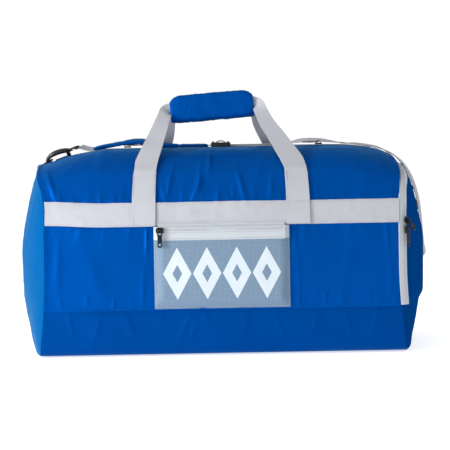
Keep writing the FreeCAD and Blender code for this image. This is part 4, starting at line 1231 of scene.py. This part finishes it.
def pocket():
    zs = np.linspace(77.5, POCKET_TOP - 0.2, 60)
    xs = np.linspace(-1, 1, 120)
    X, Z = np.meshgrid(xs, zs)
    e = np.clip((1 - np.abs(X)) * 6.0, 0, 1)
    b = np.clip((Z - 77.5) / 20.0, 0, 1)
    Y0 = face_y(Z)
    puff = 0.6 + 8.0 * np.sin(math.pi / 2 * e) * np.sin(math.pi / 2 * b)
    wr = 0.7 * vnoise(X * 109, Z, 101, 40.0) + 0.35 * vnoise(X * 109, Z, 102, 14.0)
    # a little slack gathered at the two lower corners and along the bottom
    for x0, z0, w, l, a in ((-0.9, 95, 8, 18, 1.2), (0.88, 98, 8, 20, 1.2), (-0.4, 84, 16, 5, 0.8), (0.3, 85, 20, 5, 0.8)):
        wr = wr + a * np.exp(-((X * 109 - x0 * 109) / w) ** 2) * np.exp(-((Z - z0) / l) ** 2)
    puff = puff + wr * np.minimum(e, b) * (1 - sstep(180, 189, Z))
    under = fold_field(z_to_u(Z), X * POCKET_X, -1) * (1 - np.minimum(e, 1))
    P = np.stack([X * POCKET_X, Y0 - puff - np.maximum(under, 0), Z], -1)
    uv = np.stack([X * POCKET_X, Z - 135.0], -1)
    o = shell("pocket_net", P, 0.9, [MESH], (0, -1, 0), uv=uv)
    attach(o, "root")
    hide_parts("pocket_mesh")


pocket()


def flat_tape(name, rows, x0, x1, mat, t=0.9, ripple=0.25, seed=5):
    """rows are (y, z) across the tape"""
    rows = np.array(rows, float)
    xs = np.linspace(x0, x1, 90)
    P = np.array([[(x, y, z) for x in xs] for y, z in rows])
    r = ripple * vnoise(P[..., 0], P[..., 2], seed, 18.0)
    P[..., 1] += r
    return shell(name, P, t, [mat], (0, -1, 0))


lt = flat_tape("pocket_zip_tape_lower", [(TY - 1.0, z) for z in np.linspace(188.6, 203.9, 6)], -POCKET_X * 0.93, POCKET_X * 0.93, WTAPE)
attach(lt, "root")
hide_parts("pocket_zip_lower_tape")
fy = lambda z: float(face_y(z))
parts_ = [flat_tape("t1", [(TY - 1.0, 206.1), (TY - 0.2, 207.6), (TY + 0.9, 209.6), (fy(211) - 3.6, 212.0), (fy(214) - 3.4, 214.8)], -POCKET_X * 0.93, POCKET_X * 0.93, WTAPE)]
for s in (-1, 1):
    xs = s * POCKET_X * np.linspace(0.935, 1.0, 5)
    zs = np.linspace(189.2, 210.4, 8)
    X, Z = np.meshgrid(xs, zs)
    t = (np.abs(X) / POCKET_X - 0.935) / 0.065
    Y = (TY - 1.0) * (1 - t) + (face_y(Z) - 1.6) * t
    parts_.append(shell("t", np.stack([X, Y, Z], -1), 0.9, [WTAPE], (0, -1, 0)))
ut = join("pocket_zip_tape_upper", parts_)
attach(ut, "root")
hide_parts("pocket_zip_upper_tape")
xs = np.linspace(-POCKET_X * 0.93, POCKET_X * 0.93, 60)
pc = coil("pocket_zip_coil", np.stack([xs, 0 * xs + TY - 0.9, 0 * xs + 205.0], -1), (0, -1, 0), (0, 0, 1), WCOIL, w=1.05, h=0.7)
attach(pc, "root")
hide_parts("pocket_zip_teeth")


# ================================================================ sliders and pullers
def slider_mesh(name):
    body = plate([[(-6, -3.2), (-3.6, -5), (3.2, -5), (6, -4.2), (6, -1.2), (4.6, 0), (6, 1.2), (6, 4.2), (3.2, 5), (-3.6, 5), (-6, 3.2)]], 2.3, 0.5)
    body.data.transform(Matrix.Translation((0, 0, 1.25 * MM)))
    # the bridge: an arched bar along the slider
    a = np.linspace(0, math.pi, 13)
    pts = np.stack([-3.75 * np.cos(a) * 1.0, 0 * a, 2.0 + 4.55 * np.sin(a) ** 0.6], -1)
    br = sweep("br", pts, (0, 1, 0), 1.0, 0.62, box_section(0.4), [METAL])
    return join(name, [paint(body, METAL), br])


def puller_mesh(name, length=28.0):
    L = length
    n = 14
    outline = [(-0.9, -3.4), (-0.3, -4.2), (6, -4.4), (9, -3.6), (L - 9, -3.7)]
    outline += [(L - 4.4 + 4.4 * math.cos(t), 4.4 * math.sin(t)) for t in np.linspace(-1.25, 1.25, n)]
    outline += [(L - 9, 3.7), (9, 3.6), (6, 4.4), (-0.3, 4.2), (-0.9, 3.4)]
    win = [(1.0, -2.5), (1.0, 2.5), (7.0, 2.2), (7.0, -2.2)]
    hole = [(L - 5.0 + 2.2 * math.cos(t), 2.2 * math.sin(t)) for t in np.linspace(0, 2 * math.pi, 17)[:-1]]
    p = plate([outline, win, hole], 1.7, 0.4)
    p.data.transform(Matrix.Translation((0, 0, 4.15 * MM)))
    # a raised rib down the middle
    rib = solid_box(9.5, L - 10.5, -1.1, 1.1, 3.1, 5.25, 0.35)
    return join(name, [paint(p, METAL), paint(rib, METAL)])


def zip_pull(prefix, node_prefix, origin, ex, ez, body_s, body_p, length=28.0, turn=False):
    s = slider_mesh(prefix + "_slider_body")
    if turn:        # the puller hangs across the zip; the slider still lies along it
        s.data.transform(Matrix.Rotation(math.radians(90), 4, "Z") @ Matrix.Diagonal((1.08, 0.95, 1.0, 1.0)))
    put(s, origin, ex, ez)
    p = put(puller_mesh(prefix + "_pull_tab", length), origin, ex, ez)
    for o, b, n in ((s, body_s, node_prefix + "_slider"), (p, body_p, node_prefix + "_puller")):
        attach(o, b)
        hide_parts(n)


ZTOP = 341.0
zip_pull("main_left", "main_zip_left", (-160, -2.0, ZTOP + 0.75), (1, 0, 0), (0, 0, 1), "main_slider_left", "main_puller_left")
zip_pull("main_right", "main_zip_right", (170, -2.0, ZTOP + 0.75), (-1, 0, 0), (0, 0, 1), "main_slider_right", "main_puller_right")
zip_pull("pocket", "pocket_zip", (-99.0, TY - 2.1, 205.0), (0, 0, -1), (0, -1, 0), "pocket_slider", "pocket_puller", turn=True)
_a = math.radians(47)
xe = float(np.interp(188, [140, 230], [287, 287]))
ye = float(np.interp(188, [175, 211], [-154, -151]))
EX_, EY_ = xe + (RUN + 3.5) * math.sin(_a), ye + INS * (1 - math.cos(_a)) - 3.5 * math.cos(_a)
EN = (0.70, -0.71, 0.0)
zip_pull("end_upper", "end_zip_upper", (EX_, EY_, 214.0), (0.547, 0.539, -0.64), EN, "end_slider_upper", "end_puller_upper", 24.0)
zip_pull("end_lower", "end_zip_lower", (EX_, EY_, 199.0), (0, 0, -1), EN, "end_slider_lower", "end_puller_lower", 28.0)

# ================================================================ shoulder strap
Wy = (0.0, 1.0, 0.0)


def strap(name, pts, node_name, ripple=0.5, seed=3, tilt_=0.0):
    P = smooth_path(pts, 3.0)
    wd = np.tile(np.array([0.0, 1.0, 0.0]), (len(P), 1))
    if tilt_ and len(pts) > 6:
        wd[:, 2] = tilt_ * np.clip((P[:, 2] - 344.6) / 5.0, 0, 1) * (P[:, 0] < 260)
        crest_ = sstep(215, 245, P[:, 0]) * sstep(325, 334, P[:, 2])
        wd[:, 2] += 0.11 * crest_
        P[:, 2] += 1.9 * crest_
        turn_ = sstep(336, 306, P[:, 2]) * (P[:, 0] > 280) * (np.arange(len(P)) < np.argmin(P[:, 2]) + 4)
        wd[:, 0] = 0.27 * turn_
    elif tilt_:
        wd[:, 2] = tilt_
    o = sweep(name, P, wd, 19.0, 0.8, web_section(12), [WEB], ripple=ripple, seed=seed)
    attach(o, "root")
    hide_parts(node_name)
    return P


strap("strap_web_left", [(-245.6, YS, 346.0), (-238, YS, 343.6), (-229, YS, 341.4), (-221.6, YS, 340.9)], "strap_left_webbing", 0.0, tilt_=0.2)
STRAP = [(-20.2, YS, 344.3), (60, YS, 344.3), (112, YS, 344.7), (130, YS, 348), (150, YS, 350.8), (175, YS, 350.2),
         (200, YS, 347), (222, YS, 343.4), (246, YS + 1, 339.8), (268, YS + 2, 336.2), (287, YS + 2, 330.8), (301, YS + 3, 324.6), (312, YS + 4, 316.5),
         (323, YS + 5, 305), (334, YS + 6, 288), (342, YS + 6, 268), (348.5, YS + 6, 244), (352.5, YS + 6, 215), (354.5, YS + 6, 185), (356.5, YS + 6, 163),
         (359.0, YS + 6, 151), (358.5, YS + 6, 145.5), (355.0, YS + 6, 142.6), (351.0, YS + 7, 144.5), (349.0, YS + 12, 152), (347.5, YS + 20, 163),
         (347.8, YS + 29, 176), (348.4, YS + 33, 189), (349.2, YS + 33, 198.9)]
strap("strap_web_main", STRAP, "shoulder_strap_webbing", 0.0, tilt_=0.16)
TAIL = [(-8.0, YS, 341.9), (60, YS, 341.9), (112, YS, 341.9), (150, YS, 341.9), (190, YS, 341.7), (222, YS, 340.6), (244, YS + 1, 338.0), (262, YS + 2, 335.8)]
strap("strap_web_tail", TAIL, "shoulder_strap_tail", 0.0)


def pad():
    pts = [(-222, 340.6), (-205, 345), (-185, 348.5), (-162, 352.0), (-142, 353.4), (-122, 350.2), (-102, 346.2), (-82, 344.4), (-50, 343.4), (-21, 343.2)]
    C = smooth_path([(x, 0, z) for x, z in pts], 2.2)
    tg = unit(np.gradient(C, axis=0))
    nr = np.stack([-tg[:, 2], 0 * tg[:, 0], tg[:, 0]], -1)
    s = np.concatenate([[0], np.cumsum(np.linalg.norm(np.diff(C, axis=0), axis=1))])
    L = s[-1]
    hwid = np.where(s < 14, 19.5 + 2.5 * np.sqrt(np.clip(s / 14, 0, 1)), np.where(s > L - 14, 19.5 + 2.5 * np.sqrt(np.clip((L - s) / 14, 0, 1)), 22.0))
    w = np.sin(np.linspace(-1, 1, 40) * math.pi / 2)
    S, Wd = np.meshgrid(s, w, indexing="ij")
    a = np.abs(Wd)
    prof = np.where(a < 0.80, 0.42 + 0.58 * np.sqrt(np.clip(1 - (a / 0.80) ** 2.6, 0, 1)), 0.42)
    endp = np.clip(np.minimum(S, L - S) / 9.0, 0, 1)
    prof = 0.42 + (prof - 0.42) * np.sqrt(endp * (2 - endp))
    # quilted across in soft panels
    q = np.zeros_like(S)
    for c in (L * 0.25, L * 0.5, L * 0.75):
        q = np.maximum(q, np.exp(-((S - c) / 2.6) ** 2))
    q = np.maximum(q, np.exp(-((a - 0.0) / 0.05) ** 2) * 0.0)
    prof = prof * (1 - 0.38 * q * (a < 0.8))
    wr = 0.35 * vnoise(S, Wd * 22, 120, 14.0) + 0.2 * vnoise(S, Wd * 22, 121, 5.5)
    T = 4.0 * prof + wr * (a < 0.78)
    up = C[:, None, :] + nr[:, None, :] * np.minimum(T, 4.4)[..., None]
    dn = C[:, None, :] - nr[:, None, :] * np.clip(T, 0.8, 3.9)[..., None]
    clear = np.clip((C[:, 2] - 344.0) / 9.0, 0, 1)[:, None]
    for Q in (up, dn):
        Q[..., 1] = YS + Wd * hwid[:, None]
        Q[..., 2] += clear * Wd * 3.6
    m, n = S.shape
    v = np.concatenate([up.reshape(-1, 3), dn.reshape(-1, 3)])
    idx = np.arange(m * n).reshape(m, n)
    A, B, C2, D = idx[:-1, :-1].ravel(), idx[:-1, 1:].ravel(), idx[1:, 1:].ravel(), idx[1:, :-1].ravel()
    o1 = np.stack([A, B, C2, D], 1)
    k = m * n
    rv = np.concatenate([idx[0, :], idx[1:, -1], idx[-1, :-1][::-1], idx[1:-1, 0][::-1]])
    r1 = np.roll(rv, -1)
    faces = np.concatenate([o1, o1[:, ::-1] + k, np.stack([rv, rv + k, r1 + k, r1], 1)])
    uv = np.stack([S, Wd * 22], -1).reshape(-1, 2)
    o = new_mesh("shoulder_pad_cushion", v, faces, np.concatenate([uv, uv]), [BLUE])
    fix_normals(o)
    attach(o, "root")
    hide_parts("shoulder_pad")
    lines = []
    for j in (int(np.argmin(np.abs(w + 0.83))), int(np.argmin(np.abs(w - 0.83)))):
        lines.append((up[2:-2, j], nr[2:-2]))
    for c in (0.25, 0.5, 0.75):
        i = int(np.argmin(np.abs(s - L * c)))
        lines.append((up[i, 6:-6], nr[i]))
    st = stitches("shoulder_pad_stitching", lines, BTHREAD, pitch=3.2)
    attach(st, "root")


pad()


# ---------------------------------------------------------------- ladder adjuster
def adjuster():
    y = YS
    obs = []
    for s in (-1, 1):       # side rails
        obs.append(solid_box(-16, 18, y + s * 22 - 2 * 1, y + s * 22 + 2 * 1, 339.4, 348.6, 0.9, 3))
    for x0, x1 in ((-16, -9.2), (-1.8, 3.8), (11.2, 18)):
        obs.append(solid_box(x0, x1, y - 22, y + 22, 345.9, 348.6, 0.8, 3))
    for x0, x1 in ((-14, -10.5), (12, 15.5)):
        obs.append(solid_box(x0, x1, y - 22, y + 22, 347.6, 350.5, 1.1, 3))
    for x0, x1 in ((-16, -9.2), (11.2, 18)):
        obs.append(solid_box(x0, x1, y - 22, y + 22, 339.3, 340.4, 0.4, 2))
    for i in range(7):      # grip ribs
        obs.append(solid_box(-1.4 + i * 0.72, -1.1 + i * 0.72, y - 18, y + 18, 348.4, 348.9, 0.12, 1))
    hump = sweep("adjuster_strap_hump", smooth_path([(-7.6, y, 346.4), (-6.2, y, 349.4), (-2.5, y, 351.4), (1, y, 351.9), (4.5, y, 351.4), (8.2, y, 349.4), (9.6, y, 346.4)], 1.0), Wy, 17.5, 0.7, web_section(10), [WEB])
    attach(hump, "adjuster")
    o = join("adjuster_frame", [paint(q, BLACK) for q in obs])
    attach(o, "adjuster")
    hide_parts("strap_adjuster")


adjuster()


# ---------------------------------------------------------------- hooks, eyes, gates, rings
def hook_set(prefix, node_prefix, origin, ex, ez, ez_eye):
    pts = [(6.5, 0, 0), (12, 0, 2.4), (22, 0, 4.6), (34, 0, 4.4), (43.5, 0, 0.9), (49.3, 0, -5.5), (49.5, 0, -12), (44.5, 0, -16.5), (38.5, 0, -16.5)]
    wid = [3.4, 4.2, 4.5, 4.4, 3.4, 2.8, 2.5, 2.3, 2.0]
    P, E = smooth_path(pts, 1.2, wid)
    arm = sweep("a", P, Wy, E, E * 1.02, round_section(14), [BLACK])
    tip = solid_box(36.6, 40.2, -2.2, 2.2, -18.6, -14.4, 1.2, 3)
    neck = sweep("n", smooth_path([(0.6, 0, 0), (2.2, 0, 0), (4, 0, 0), (6, 0, 0), (8.6, 0, 0.6)], 0.6), Wy,
                 np.interp(np.linspace(0, 1, len(smooth_path([(0.6, 0, 0), (2.2, 0, 0), (4, 0, 0), (6, 0, 0), (8.6, 0, 0.6)], 0.6))), [0, .2, .35, .6, 1], [2.9, 3.0, 2.2, 2.9, 2.7]), 3.0, round_section(16), [BLACK])
    lug = [solid_box(6.8, 13.2, -2.95, -1.95, -13.3, -2.0, 0.4), solid_box(6.8, 13.2, 1.95, 2.95, -13.3, -2.0, 0.4), solid_box(6.6, 8.0, -2.95, 2.95, -13.0, -1.5, 0.4)]
    pin = sweep("p", [(10.8, -3.1, -11.5), (10.8, 0, -11.5), (10.8, 3.1, -11.5)], (1, 0, 0), 0.9, 0.9, round_section(12), [METAL])
    hk = join(prefix + "_hook_arm", [arm, paint(tip, BLACK), neck] + [paint(q, BLACK) for q in lug] + [pin])
    g = sweep("g", smooth_path([(9.3, 0, -11.5), (14, 0, -11.5), (24, 0, -11.5), (35.8, 0, -11.5)], 2.0), Wy, 1.45, 1.45, round_section(12), [METAL])
    rib = [solid_box(16 + 3 * i, 17.4 + 3 * i, -1.5, 1.5, -13.0, -10.0, 0.3) for i in range(4)]
    gate = join(prefix + "_gate_bar", [g] + [paint(q, METAL) for q in rib])
    # the eye: a rounded rectangular loop for the webbing
    pts = []
    for cx, cy, a0 in ((-5.0, 20.0, 0), (-10.0, 20.0, 90), (-10.0, -20.0, 180), (-5.0, -20.0, 270)):
        for i in range(5):
            a = math.radians(a0 + 90 * i / 4)
            pts.append((cx + 2.0 * math.cos(a), cy + 2.0 * math.sin(a), 0))
    dense = []
    for i in range(len(pts)):
        a, b = np.array(pts[i]), np.array(pts[(i + 1) % len(pts)])
        k = max(1, int(np.linalg.norm(b - a) / 3))
        dense += [tuple(a + (b - a) * j / k) for j in range(k)]
    eye = sweep("e", dense, (0, 0, 1), 1.9, 1.9, round_section(12), [BLACK], closed=True)
    for o in (hk, gate):
        put(o, origin, ex, ez)
    put(eye, origin, ex, ez_eye)
    eye.name = prefix + "_hook_eye_loop"
    return hk, gate, eye


LH, LX, LZ = (-260.4, YS, 342.0), (-0.945, 0.0, -0.327), (-0.20, -0.70, 0.68)
RH, RX, RZ = (345.5, YS + 33, 214.0), (-0.33, 0.0, 0.944), (-0.944, 0.0, -0.33)
for pre, args in (("left", (LH, LX, LZ, (0, 0, 1))), ("right", (RH, RX, RZ, (0.944, 0.0, 0.33)))):
    hk, gate, eye = hook_set(pre, pre, *args)
    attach(hk, pre + "_hook")
    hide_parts(pre + "_snap_hook")
    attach(gate, pre + "_gate")
    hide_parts(pre + "_hook_gate")
    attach(eye, "root")
    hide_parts(pre + "_hook_eye")
    hk, gate, eye


def d_ring(name, bar, up_dir, body, node_name, r=20.0):
    b, u = np.array(bar, float), unit(np.array(up_dir, float))
    y = np.array([0.0, 1.0, 0.0])
    pts = []
    for a in np.linspace(0, 180, 33):
        ar = math.radians(a)
        pts.append(b + y * (r * math.cos(ar)) + u * (5 + 19.0 * math.sin(ar)))
    for s in (-1,):
        for q in (0.8, 0.5, 0.2):
            pts.append(b + y * (-r) + u * (5 * q))
    pts += [b + y * (-r + 2 * r * t) for t in np.linspace(0.02, 0.98, 15)]
    for q in (0.2, 0.5, 0.8):
        pts.append(b + y * r + u * (5 * q))
    n = np.cross(y, u)
    o = sweep(name, pts, n, 1.7, 1.7, round_section(12), [METAL], closed=True)
    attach(o, body)
    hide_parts(node_name)


LY, RY = YS + 4.8, YS + 33
d_ring("left_ring_wire", (-317.2, LY, 310.6), (19.9, 0, 13.4), "left_ring", "left_d_ring")
d_ring("right_ring_wire", (330.3, RY, 277.3), (8.3, 0, -22.3), "right_ring", "right_d_ring")


def lerp_t(table, v):
    return float(np.interp(v, [t[0] for t in table], [t[1] for t in table]))


def surf_x(sgn, y, z):
    c = lerp_t(CREST, sgn * 309)
    zu = 250 + (z - 250) * 91.0 / (c - 250) if z > 250 else z
    hw = float(halfw_f(zu))
    if sgn < 0:
        return lerp_t(SEAM_X, zu) + lerp_t(BULGE, zu) * (1 - (abs(y) / hw) ** 2)
    t = min(1.0, abs(y) / (hw - 10))
    return lerp_t(SEAM_X, zu) + RUN + (lerp_t(BULGE, zu) - 8) * (1 - t * t)


def ring_tab(name, bar, y, ends, to, node_name):
    r = 4.9
    pts = [ends[0]]
    for d in range(-125, 126, 25):
        a = math.radians(to + 180 + d)
        pts.append((bar[0] + r * math.cos(a), bar[1] + r * math.sin(a)))
    pts.append(ends[1])
    P = smooth_path([(x, y, z) for x, z in pts], 1.2)
    o = sweep(name, P, Wy, 14.0, 0.7, web_section(10), [WEB])
    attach(o, "root")
    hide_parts(node_name)


ring_tab("left_ring_loop", (-317.2, 310.6), LY, [(-(surf_x(-1, LY - 14, 280) + 3.4), 280), (-(surf_x(-1, LY - 14, 296) + 1.4), 295)], 262, "left_d_ring_tab")
ring_tab("right_ring_loop", (330.3, 277.3), RY, [(surf_x(1, RY - 14, 291) + 1.6, 291), (surf_x(1, RY - 14, 294) + 4.4, 294)], 118, "right_d_ring_tab")


# ================================================================ stitching
def body_line(side, us, xs, off):
    U, X = np.broadcast_arrays(np.asarray(us, float), np.asarray(xs, float))
    P, N = skin(U, X, side, off, 0.9)
    return P, N


BAND_ROWS = (213.2, 246.8)
for side, nm in ((-1, "front"), (1, "rear")):
    lines = []
    n = 260
    for z in BAND_ROWS:
        u = float(z_to_u(z))
        lm = float(limits(np.array([u]))[0]) - 4
        X = np.linspace(-lm, float(limits(np.array([u]), True)[0]) - 3, n)
        P, N = body_line(side, u, X, 1.75)
        P[:, 2] += band_rise(side, X)
        lines.append((P, N))
    for sx in (-1, 1):
        for dx in (-17.2, 17.2):
            us = np.linspace(z_to_u(212.5), 11.8, 60)
            P, N = skin(us, np.full(60, sx * HANDLE_X + dx), side, 3.6, 0.75)
            lines.append((P, N))
        ua, ub = float(z_to_u(213.5)), float(z_to_u(246.5))
        for (xa, u1), (xb, u2) in (((-16.5, ub), (16.5, ub)), ((-16.5, ua), (16.5, ua))):
            P, N = skin(np.linspace(u1, u2, 30), np.linspace(sx * HANDLE_X + xa, sx * HANDLE_X + xb, 30), side, 3.6, 0.75)
            lines.append((P, N))
    st = stitches("webbing_stitching_" + nm, lines, WTHREAD, pitch=3.0, length=2.2)
    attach(st, "root")
    # body seams: the base tray's top edge and both end seams
    lines = []
    for z in (78.6,):
        u = float(z_to_u(z))
        lm = float(limits(np.array([u]))[0]) - 3
        P, N = body_line(side, u, np.linspace(-lm, lm, 260), 0.0)
        lines.append(skin(u, np.linspace(-lm, lm, 260), side, 0.0))
    for sx in (-1, 1):
        us = np.linspace(3.2, 15.6, 200)
        lines.append(skin(us, sx * (limits(us, sx > 0) - 4.2), side, 0.0))
    st = stitches("seam_stitching_" + nm, lines, BTHREAD, pitch=3.4)
    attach(st, "root")

# pocket edges and zip tapes
lines = []
for s in (-1, 1):
    zs = np.linspace(80, 188, 60)
    x = s * POCKET_X * 0.988
    P = np.stack([np.full(60, x), face_y(zs) - 2.6, zs], -1)
    lines.append((P, (0, -1, 0)))
xs = np.linspace(-106, 106, 80)
lines.append((np.stack([xs, np.full(80, float(face_y(80.0)) - 2.6), np.full(80, 80.0)], -1), (0, -1, 0)))
for z, y in ((191.0, TY - 1.25), (201.0, TY - 1.25)):
    xs = np.linspace(-100, 100, 80)
    lines.append((np.stack([xs, np.full(80, y), np.full(80, z)], -1), (0, -1, 0)))
st = stitches("pocket_stitching", lines, WTHREAD, pitch=3.0, length=2.1, w=0.36)
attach(st, "root")

# the end zip's tapes
lines = []
for phi, w in ((4.0, 1.15), (36.0, 1.15)):
    P = np.array([rim(u, phi, 0.65, s) for u, s in seq])
    Q = np.array([rim(u, phi, 2.0, s) for u, s in seq])
    P[:, 2] = np.maximum(P[:, 2], 78)
    Q[:, 2] = np.maximum(Q[:, 2], 78)
    lines.append((P, Q - P))
st = stitches("end_zip_stitching", lines, WTHREAD, pitch=3.0, length=2.1, w=0.34)
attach(st, "root")

# two rows of stitching along the shoulder strap's webbing beside the left hook
lines = []
for x0, x1 in ((-244, -226),):
    for y0 in (-15, 15):
        xs = np.linspace(x0, x1, 12)
        z = np.interp(xs, [-245.6, -238, -229, -222.6], [346.0, 343.6, 341.4, 340.6]) + 0.8
        lines.append((np.stack([xs, 0 * xs + YS + y0, z], -1), (0.25, 0, 1)))
st = stitches("strap_stitching", lines, WTHREAD, pitch=3.0, length=2.2)
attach(st, "root")

# ================================================================ inside: CAD pieces kept as they are, or refaced
zs_ = np.linspace(9, 333, 60)
us_d = z_to_u(np.clip(zs_, 9, 333))
w_d = np.abs(catmull(PROFILE, us_d)[:, 0]) - 6.0
t_d = np.linspace(-1, 1, 50)
Yd = w_d[:, None] * t_d[None, :]
Zd = np.broadcast_to(np.clip(zs_, 9, 332)[:, None], Yd.shape)
Xd = 205.0 + 2.2 * vnoise(Yd, Zd, 140, 60.0) * (1 - np.abs(t_d[None, :]) ** 4)
dv = shell("pocket_divider_cloth", np.stack([Xd, Yd, Zd], -1), 1.0, [LINING], (1, 0, 0))
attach(dv, "root")
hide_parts("end_pocket_divider")
bd = paint(solid_box(-285, 282, -122, 122, 2.9, 5.7, 1.0, 2), BOARD)
bd.name = "base_board_panel"
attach(bd, "root")
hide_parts("base_board")

# ================================================================ stage, light and camera
LEFT, FRONT = 0.7, 0.40
fm, fnt, fbs = mat_new("floor")
fbs.inputs["Base Color"].default_value = (0.93, 0.93, 0.94, 1)
fbs.inputs["Roughness"].default_value = 0.6
fbs.inputs["Specular IOR Level"].default_value = 0.1
fbs.inputs["Emission Color"].default_value = (1, 1, 1, 1)
fbs.inputs["Emission Strength"].default_value = 0.62
me = bpy.data.meshes.new("floor")
me.from_pydata([(-30, -40, -0.0015), (30, -40, -0.0015), (30, 14, -0.0015), (-30, 14, -0.0015)], [], [(0, 1, 2, 3)])
floor = bpy.data.objects.new("floor", me)
bpy.context.scene.collection.objects.link(floor)
me.materials.append(fm)
floor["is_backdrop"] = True

world = bpy.data.worlds.new("studio")
bpy.context.scene.world = world
world.use_nodes = True
wn = world.node_tree
wn.nodes.clear()
wo = wn.nodes.new("ShaderNodeOutputWorld")
wb = wn.nodes.new("ShaderNodeBackground")
wb.inputs["Color"].default_value = (1.0, 1.0, 1.0, 1)
# a white backdrop behind, a dimmer room in front, brighter on the left
tcw = wn.nodes.new("ShaderNodeTexCoord")
sxw = wn.nodes.new("ShaderNodeSeparateXYZ")
wn.links.new(tcw.outputs["Generated"], sxw.inputs[0])
bk = math_node(wn, "MULTIPLY_ADD", sxw.outputs[1], 25.0, -23.2)
bk = math_node(wn, "MINIMUM", math_node(wn, "MAXIMUM", bk, 0.0), 1.0)
lf = math_node(wn, "MAXIMUM", math_node(wn, "MULTIPLY_ADD", sxw.outputs[0], -1.0, -0.15), 0.0)
fr = math_node(wn, "MULTIPLY_ADD", lf, LEFT, FRONT)
st_ = math_node(wn, "ADD", math_node(wn, "MULTIPLY", bk, 1.02), math_node(wn, "MULTIPLY", math_node(wn, "SUBTRACT", 1.0, bk), fr))
wn.links.new(st_, wb.inputs["Strength"])
wn.links.new(wb.outputs[0], wo.inputs[0])


def area(name, loc, target, size, power, col=(1, 1, 1)):
    li = bpy.data.lights.new(name, "AREA")
    li.shape = "RECTANGLE"
    li.size, li.size_y = size
    li.energy = power
    li.color = col
    ob = bpy.data.objects.new(name, li)
    bpy.context.scene.collection.objects.link(ob)
    ob.location = loc
    ob.rotation_euler = (Vector(target) - Vector(loc)).to_track_quat("-Z", "Y").to_euler()
    ob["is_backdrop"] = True
    return ob


area("key_left", (-1.15, -0.85, 0.42), (-0.25, 0, 0.18), (0.45, 0.7), 9.6)
area("far_left", (-2.7, -1.5, 0.9), (0, 0, 0.2), (0.7, 0.9), 40)
area("right_fill", (1.9, -0.25, 0.75), (0.32, 0, 0.25), (0.5, 0.7), 3.5)
area("top_soft", (-0.2, -0.6, 2.2), (0, 0, 0.2), (2.2, 1.6), 6)

cam = bpy.data.cameras.new("camera")
cam.lens = 99.4
cam.sensor_width = 36.0
cam.sensor_fit = "HORIZONTAL"
cam.clip_end = 60
co = bpy.data.objects.new("camera", cam)
bpy.context.scene.collection.objects.link(co)
pitch = math.radians(-2.53)
R = Matrix.Rotation(math.radians(90) + pitch, 4, "X") @ Matrix.Rotation(math.radians(-1.05), 4, "Z")
co.matrix_world = Matrix.Translation((0.006, -2.155, 0.300)) @ R
bpy.context.scene.camera = co
co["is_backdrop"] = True
bpy.context.scene.view_settings.view_transform = "Standard"
bpy.context.scene.view_settings.look = "None"

({"cad": [list(map(float, v)) if hasattr(v, "__len__") else float(v) for v in CAD_BOUNDS],
           "visual": [list(map(float, v)) if hasattr(v, "__len__") else float(v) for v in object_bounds()]})
